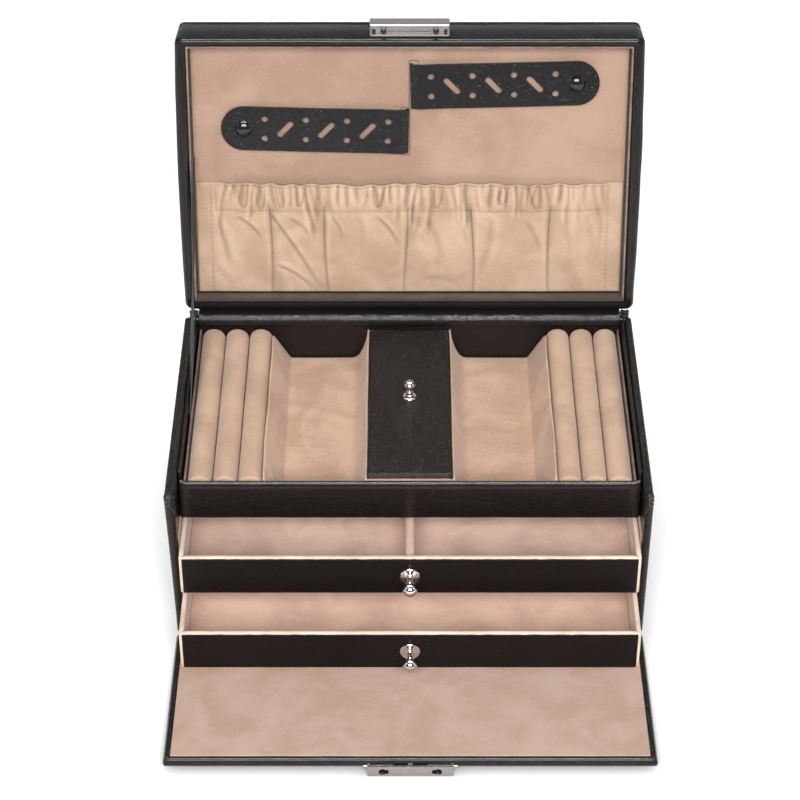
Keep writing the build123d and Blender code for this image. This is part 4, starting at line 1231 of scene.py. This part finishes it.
hinge_leather = leather(
    "black_hinge_leather", (0.006, 0.005, 0.006), (0.012, 0.011, 0.012), 0.29, pebbles=700.0, creases=0.9,
    depth=0.0001, shine=0.3, coat=0.0,
)
hinge_line = rounded_line(
    [(78.6, 97.4), (78.6, 102.6), (82.4, 103.5), (87.5, 104.4), (94.4, 103.1)], (2.6, 2.0, 3.0), 9
)


def hinge_wrinkles(x, t):
    """Small cross folds where the leather bends, a puckered edge, and curled ends."""
    bend = np.exp(-(((t - 0.45) / 0.2) ** 2))
    fold = 0.04 * math.sin(x * 0.53) + 0.05 * math.sin(x * 0.21 + 1.0) + 0.015 * math.sin(x * 1.3 + 2.0)
    return bend * fold + 0.02 * np.sin(t * 24.0 + 0.2 * x) * bend + 0.7 * swell(abs(x), 122.5, 125.2) * bend


lid_hinge = make_piece(
    "lid_hinge_strip", thick_strip(hinge_line, 0.55, hinge_wrinkles, 125.2, 420), hinge_leather,
    replaces=["lid_hinge_leather"],
)
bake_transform(lid_hinge)
for name, sign in (("right", 1), ("left", -1)):
    low_x, high_x = sorted((sign * 125.4, sign * 130.9))
    rolled = [soft_block((low_x, 82.7, z), (high_x, 85.3, z + 2.9), 1.25, (8, 1, 1), 5) for z in (99.6, 102.3)]
    points, faces = joined(*rolled)
    points[:, 2] += 0.3 * np.sin(points[:, 0] * 1.7)
    make_piece(f"{name}_hinge_end_roll", (points, faces), hinge_leather, "case")
flap_line = np.stack([np.linspace(-82.4, -87.6, 14), 0.72 + 0.16 * np.sin(np.linspace(0, math.pi, 14))], 1)
flap_hinge = make_piece(
    "flap_hinge_strip", thick_strip(flap_line, 0.35, lambda x, t: 0.05 * np.sin(t * 20 + x * 0.3), 125.0, 160),
    hinge_leather, replaces=["flap_hinge_leather"],
)
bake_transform(flap_hinge)


def stay_ribbon():
    """A flat ribbon between its two ends, a little twisted and bowed: across its run it is 11 mm wide."""
    low = np.array([-125.35, 2.0, 90.0])
    high = shut_to_open(np.array([-125.35]), np.array([94.0]), np.array([7.0]))[0]
    run = high - low
    length = np.linalg.norm(run)
    way = run / length
    across = np.array([0.0, -way[2], way[1]])
    t = np.linspace(0, 1, 70)
    twist = 0.16 * np.sin(t * math.pi * 2) + 0.1 * np.sin(t * math.pi)
    side = np.cos(twist)[:, None] * across + np.sin(twist)[:, None] * np.array([1.0, 0, 0])
    centre = low + t[:, None] * run + np.outer(0.55 * np.sin(t * math.pi), [1.0, 0, 0])
    w = np.linspace(-5.4, 5.4, 9)
    face = centre[:, None] + w[None, :, None] * side[:, None]
    out = np.cross(side, way)
    skins = [face + 0.35 * s * out[:, None] for s in (1, -1)]
    n, m = face.shape[:2]
    ring = np.concatenate([skins[0], skins[1][:, ::-1]], 1)
    return closed_tube(ring.reshape(-1, 3), n, 2 * m)


ribbon = webbing_finish("black_ribbon", (0.012, 0.011, 0.011), (0.045, 0.04, 0.04), 420.0)
stay = make_piece("lid_stay_ribbon", stay_ribbon(), ribbon, replaces=["lid_stay_strap"])
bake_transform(stay)

# The front flap
# A board covered in leather, with a rim that stands round its suede lining, mitred at the corners and finished
# with a fine piped edge. It lies tilted on its lock.

flap_turn = math.radians(-1.8)
flap_hinge_y = -87.3
flap_hinge_z = 0.6
flap_half = 131.7
flap_near = 0.4
flap_far = 101.2


def on_flap(shape):
    """The shape's x, reach from the hinge and height, tilted about the hinge line."""
    points, faces = shape
    x, reach, height = np.asarray(points, float).T
    c, s = math.cos(flap_turn), math.sin(flap_turn)
    y, z = -reach, height
    return np.stack([x, flap_hinge_y + y * c - z * s, flap_hinge_z + y * s + z * c], -1), faces


rim_line = [(0.25, 0.6), (0.05, 1.3), (0.0, 2.0), (0.12, 2.7), (0.5, 3.25), (0.62, 3.45), (0.66, 3.75), (0.85, 4.25)]
rim_line += [(1.4, 4.68), (2.1, 4.86), (2.9, 4.84), (3.6, 4.6), (4.0, 4.2), (4.15, 3.7), (4.2, 1.0), (4.0, 0.3)]
rim_line += [(1.0, 0.22)]
flap_box = (-flap_half, flap_half, flap_near, flap_far)
points, faces = framed(flap_box, 1.5, rim_line, (40, 80), 6, 0.5)
x, r, h = points.T
from_side = flap_half - np.abs(x)
mitre = np.exp(-(((from_side - np.minimum(r - flap_near, flap_far - r)) / 0.3) ** 2)) * (from_side < 4.3)
h = h - 0.28 * mitre * (h > 3.5) + 0.08 * uneven(points, 24.0, 71) * (h > 3)
flap_points = np.stack([x, r, h], 1)
flap_leather = leather(
    "black_flap_leather", (0.005, 0.004, 0.004), (0.010, 0.008, 0.007), 0.24, creases=0.35, depth=0.0001, shine=0.15,
    coat=0.3,
)
plate = soft_block((-128.2, 3.9, 0.2), (128.2, 97.7, 3.8), 0.8, (50, 30, 2))
make_piece(
    "flap_board_leather", on_flap(joined((flap_points, faces), plate)), flap_leather, "front_flap", ["flap_board"],
)
flap_suede = suede("flap_lining_suede", (0.385, 0.256, 0.186), (0.455, 0.318, 0.262), blotches=30.0)
lining = soft_block((-127.9, 4.2, 3.7), (127.9, 97.4, 4.72), 0.45, (70, 40, 1))
lining[0][:, 2] += 0.09 * uneven(lining[0], 45.0, 72) * (lining[0][:, 2] > 4.4)
make_piece("flap_lining_panel", on_flap(lining), flap_suede, "front_flap", ["flap_lining"])

# The lock
# Folded sheet metal with a satin nickel finish. The part on the lid has two headed pins; the part on the flap has
# two keyholes for them and a spring catch that sticks out at each side.


def nickel_finish(name, dark, light):
    """Brushed metal: fine scratches along X change the roughness and the height."""
    made, tree, metal, where = new_material(name)
    lengthways = node(tree, "ShaderNodeMapping", {"Vector": where, "Scale": (0.05, 1.0, 1.0)})
    scratch = node(tree, "ShaderNodeTexNoise", {"Vector": lengthways.outputs[0], "Scale": 5200.0, "Detail": 3.0})
    cloud = node(tree, "ShaderNodeTexNoise", {"Vector": where, "Scale": 90.0, "Detail": 3.0})
    tree.links.new(tone(tree, cloud.outputs["Fac"], dark, light), metal.inputs["Base Color"])
    rough = node(tree, "ShaderNodeMapRange", {"Value": scratch.outputs["Fac"], "To Min": 0.2, "To Max": 0.36})
    tree.links.new(rough.outputs[0], metal.inputs["Roughness"])
    bump = node(tree, "ShaderNodeBump", {"Strength": 0.05, "Distance": 0.00003, "Height": scratch.outputs["Fac"]})
    tree.links.new(bump.outputs[0], metal.inputs["Normal"])
    metal.inputs["Metallic"].default_value = 1.0
    return made


pin_spread = 14.8
nickel = nickel_finish("satin_nickel", (0.29, 0.265, 0.255), (0.39, 0.36, 0.35))
# Darker metal, for the pins and for the dark strips under the hood, which are painted shade.
dark_metal_and_slot_shade = nickel_finish("dark_metal_and_slot_shade", (0.035, 0.031, 0.03), (0.08, 0.07, 0.066))
hood = soft_block((-22.8, 166.3, 2.9), (22.8, 173.4, 16.2), 0.55, (40, 6, 10))
lip = soft_block((-22.1, 166.5, 2.4), (22.1, 173.0, 3.2), 0.3, (40, 6, 1))
# Dark strips under the hood are painted shade for its slots; two small dark blocks sit near its ends.
slot_shade_lines = joined(
    soft_block((-12.6, 169.3, 2.15), (12.6, 169.75, 2.6), 0.12, (20, 1, 1), 2),
    soft_block((-12.6, 170.2, 2.2), (12.6, 170.55, 2.6), 0.1, (20, 1, 1), 2),
)
ears = [soft_block((s * 20.3 - 1.0, 167.6, 2.1), (s * 20.3 + 1.0, 171.0, 2.6), 0.15, (2, 3, 1), 2) for s in (-1, 1)]
make_piece("lid_lock_hood", on_lid(joined(hood, lip)), nickel, "lid", ["lid_lock_housing"])
make_piece("lid_lock_painted_slot_shade", on_lid(joined(slot_shade_lines, *ears)), dark_metal_and_slot_shade, "lid")


def lock_pin(x):
    """A riveted pin: a collar, a slim neck and a flat head with a chamfer, turned about the lid's depth."""
    line = [(0, 0.6), (2.2, 0.6), (2.2, 0.2), (1.3, 0.0), (1.2, -1.4)]
    line += [(1.15, -3.2), (1.75, -3.5), (1.75, -4.1), (1.3, -4.4), (0, -4.45)]
    points, faces = turned(eased(line), 32)
    return points + (x, 170.5, 2.4), faces


make_piece(
    "lid_lock_headed_pins", on_lid(joined(lock_pin(-pin_spread), lock_pin(pin_spread))), dark_metal_and_slot_shade, "lid",
    ["lid_lock_pins"],
)
eased_node("flap_lock_housing", "flap_lock_plate", nickel, "front_flap", 0.00022)
for name, sign in (("right", 1), ("left", -1)):
    low_x, high_x = sorted((sign * 9.0, sign * 25.4))
    bar = soft_block((low_x, 101.5, 0.7), (high_x, 102.6, 2.3), 0.28, (12, 2, 2))
    make_piece(f"{name}_spring_catch", on_flap(bar), nickel, f"{name}_catch", [f"{name}_lock_catch"])

# The camera, a pale floor and soft studio light
# The camera looks down from in front through a long lens. A large softbox in front lights the box, a strip above
# draws the gloss of the leather, and the floor is white, glowing for the camera more towards the back, with soft
# shadows where the box stands that are partly cast and partly painted into its colour.

camera_down = 38.4
focal_pixels = 2368.7
picture_pixels = 800
sensor_width = 36.0
floor_z = -0.0004
scene = bpy.context.scene
scene.view_settings.view_transform = "Standard"
camera = bpy.data.objects.new("camera", bpy.data.cameras.new("camera"))
scene.collection.objects.link(camera)
camera.location = (-0.0055, -1.054298, 0.939198)
camera.rotation_euler = (math.radians(90 - camera_down), 0, 0)
camera.data.sensor_width = sensor_width
camera.data.lens = focal_pixels * sensor_width / picture_pixels
camera.data.clip_end = 50
scene.camera = camera


def soft_light(name, place, target, size, power, tint=(1, 1, 1)):
    """A wide soft lamp at a place, turned to a target."""
    lamp = bpy.data.lights.new(name, "AREA")
    lamp.shape = "RECTANGLE"
    lamp.size, lamp.size_y = size
    lamp.energy = power
    lamp.color = tint
    made = bpy.data.objects.new(name, lamp)
    scene.collection.objects.link(made)
    away = np.array(place, float) - np.array(target, float)
    flat = math.hypot(away[0], away[1])
    made.location = place
    made.rotation_euler = (math.atan2(flat, away[2]), 0, math.atan2(away[0], -away[1]))
    return made


soft_light("front_softbox", (0.0, -2.0, 1.62), (0, 0, 0.1), (1.5, 1.0), 100)
strip_light = soft_light("overhead_strip", (0.0, 0.12, 1.8), (0, 0, 0.1), (1.6, 0.26), 60)
strip_light.visible_diffuse = False
soft_light("left_softbox", (-1.5, -0.4, 0.9), (0, 0, 0.1), (0.4, 1.2), 2.5)
soft_light("right_softbox", (1.5, -0.4, 0.9), (0, 0, 0.1), (0.4, 1.2), 2.5)
rear_glow = soft_light("rear_glow", (0.0, 2.2, 0.55), (0, 0, 0.2), (2.2, 0.7), 2.6)
rear_glow.visible_diffuse = False

floor_mesh = bpy.data.meshes.new("floor")
floor_mesh.from_pydata([(x, y, floor_z) for x, y in ((-6, -6), (6, -6), (6, 6), (-6, 6))], [], [(0, 1, 2, 3)])
floor = bpy.data.objects.new("floor", floor_mesh)
scene.collection.objects.link(floor)
floor_paint, floor_tree, floor_skin, floor_place = new_material("white_floor")
# Painted shadow: the floor's colour darkens where the box is near.
floor_painted_shadow = node(floor_tree, "ShaderNodeAmbientOcclusion", {"Distance": 0.07}, samples=8)
floor_colour = tone(floor_tree, floor_painted_shadow.outputs["AO"], (0.3, 0.3, 0.3), (0.93, 0.93, 0.93))
floor_tree.links.new(floor_colour, floor_skin.inputs["Base Color"])
floor_skin.inputs["Roughness"].default_value = 0.9
floor_skin.inputs["Specular IOR Level"].default_value = 0.1
# The floor glows for the camera, more towards the back, so that it stays white.
floor_seen = floor_tree.nodes.new("ShaderNodeLightPath")
floor_way = node(floor_tree, "ShaderNodeSeparateXYZ", {"Vector": floor_place})
floor_lift = node(
    floor_tree, "ShaderNodeMapRange",
    {"Value": floor_way.outputs["Y"], "From Min": -0.22, "From Max": 0.1, "To Min": 0.0, "To Max": 0.45},
)
floor_glow = node(
    floor_tree, "ShaderNodeMath", {0: floor_seen.outputs["Is Camera Ray"], 1: floor_lift.outputs[0]},
    operation="MULTIPLY",
)
floor_tree.links.new(floor_glow.outputs[0], floor_skin.inputs["Emission Strength"])
floor_skin.inputs["Emission Color"].default_value = (1, 1, 1, 1)
floor_mesh.materials.append(floor_paint)

world = bpy.data.worlds.new("studio")
world.use_nodes = True
scene.world = world
sky = world.node_tree.nodes["Background"]
sky.inputs["Color"].default_value = (1, 1, 1, 1)
seen = world.node_tree.nodes.new("ShaderNodeLightPath")
mirrored = node(
    world.node_tree, "ShaderNodeMath", {0: seen.outputs["Is Glossy Ray"], 1: -0.15, 2: 0.3}, operation="MULTIPLY_ADD"
)
strength = node(
    world.node_tree, "ShaderNodeMath", {0: seen.outputs["Is Camera Ray"], 1: 0.8, 2: mirrored.outputs[0]},
    operation="MULTIPLY_ADD",
)
world.node_tree.links.new(strength.outputs[0], sky.inputs["Strength"])
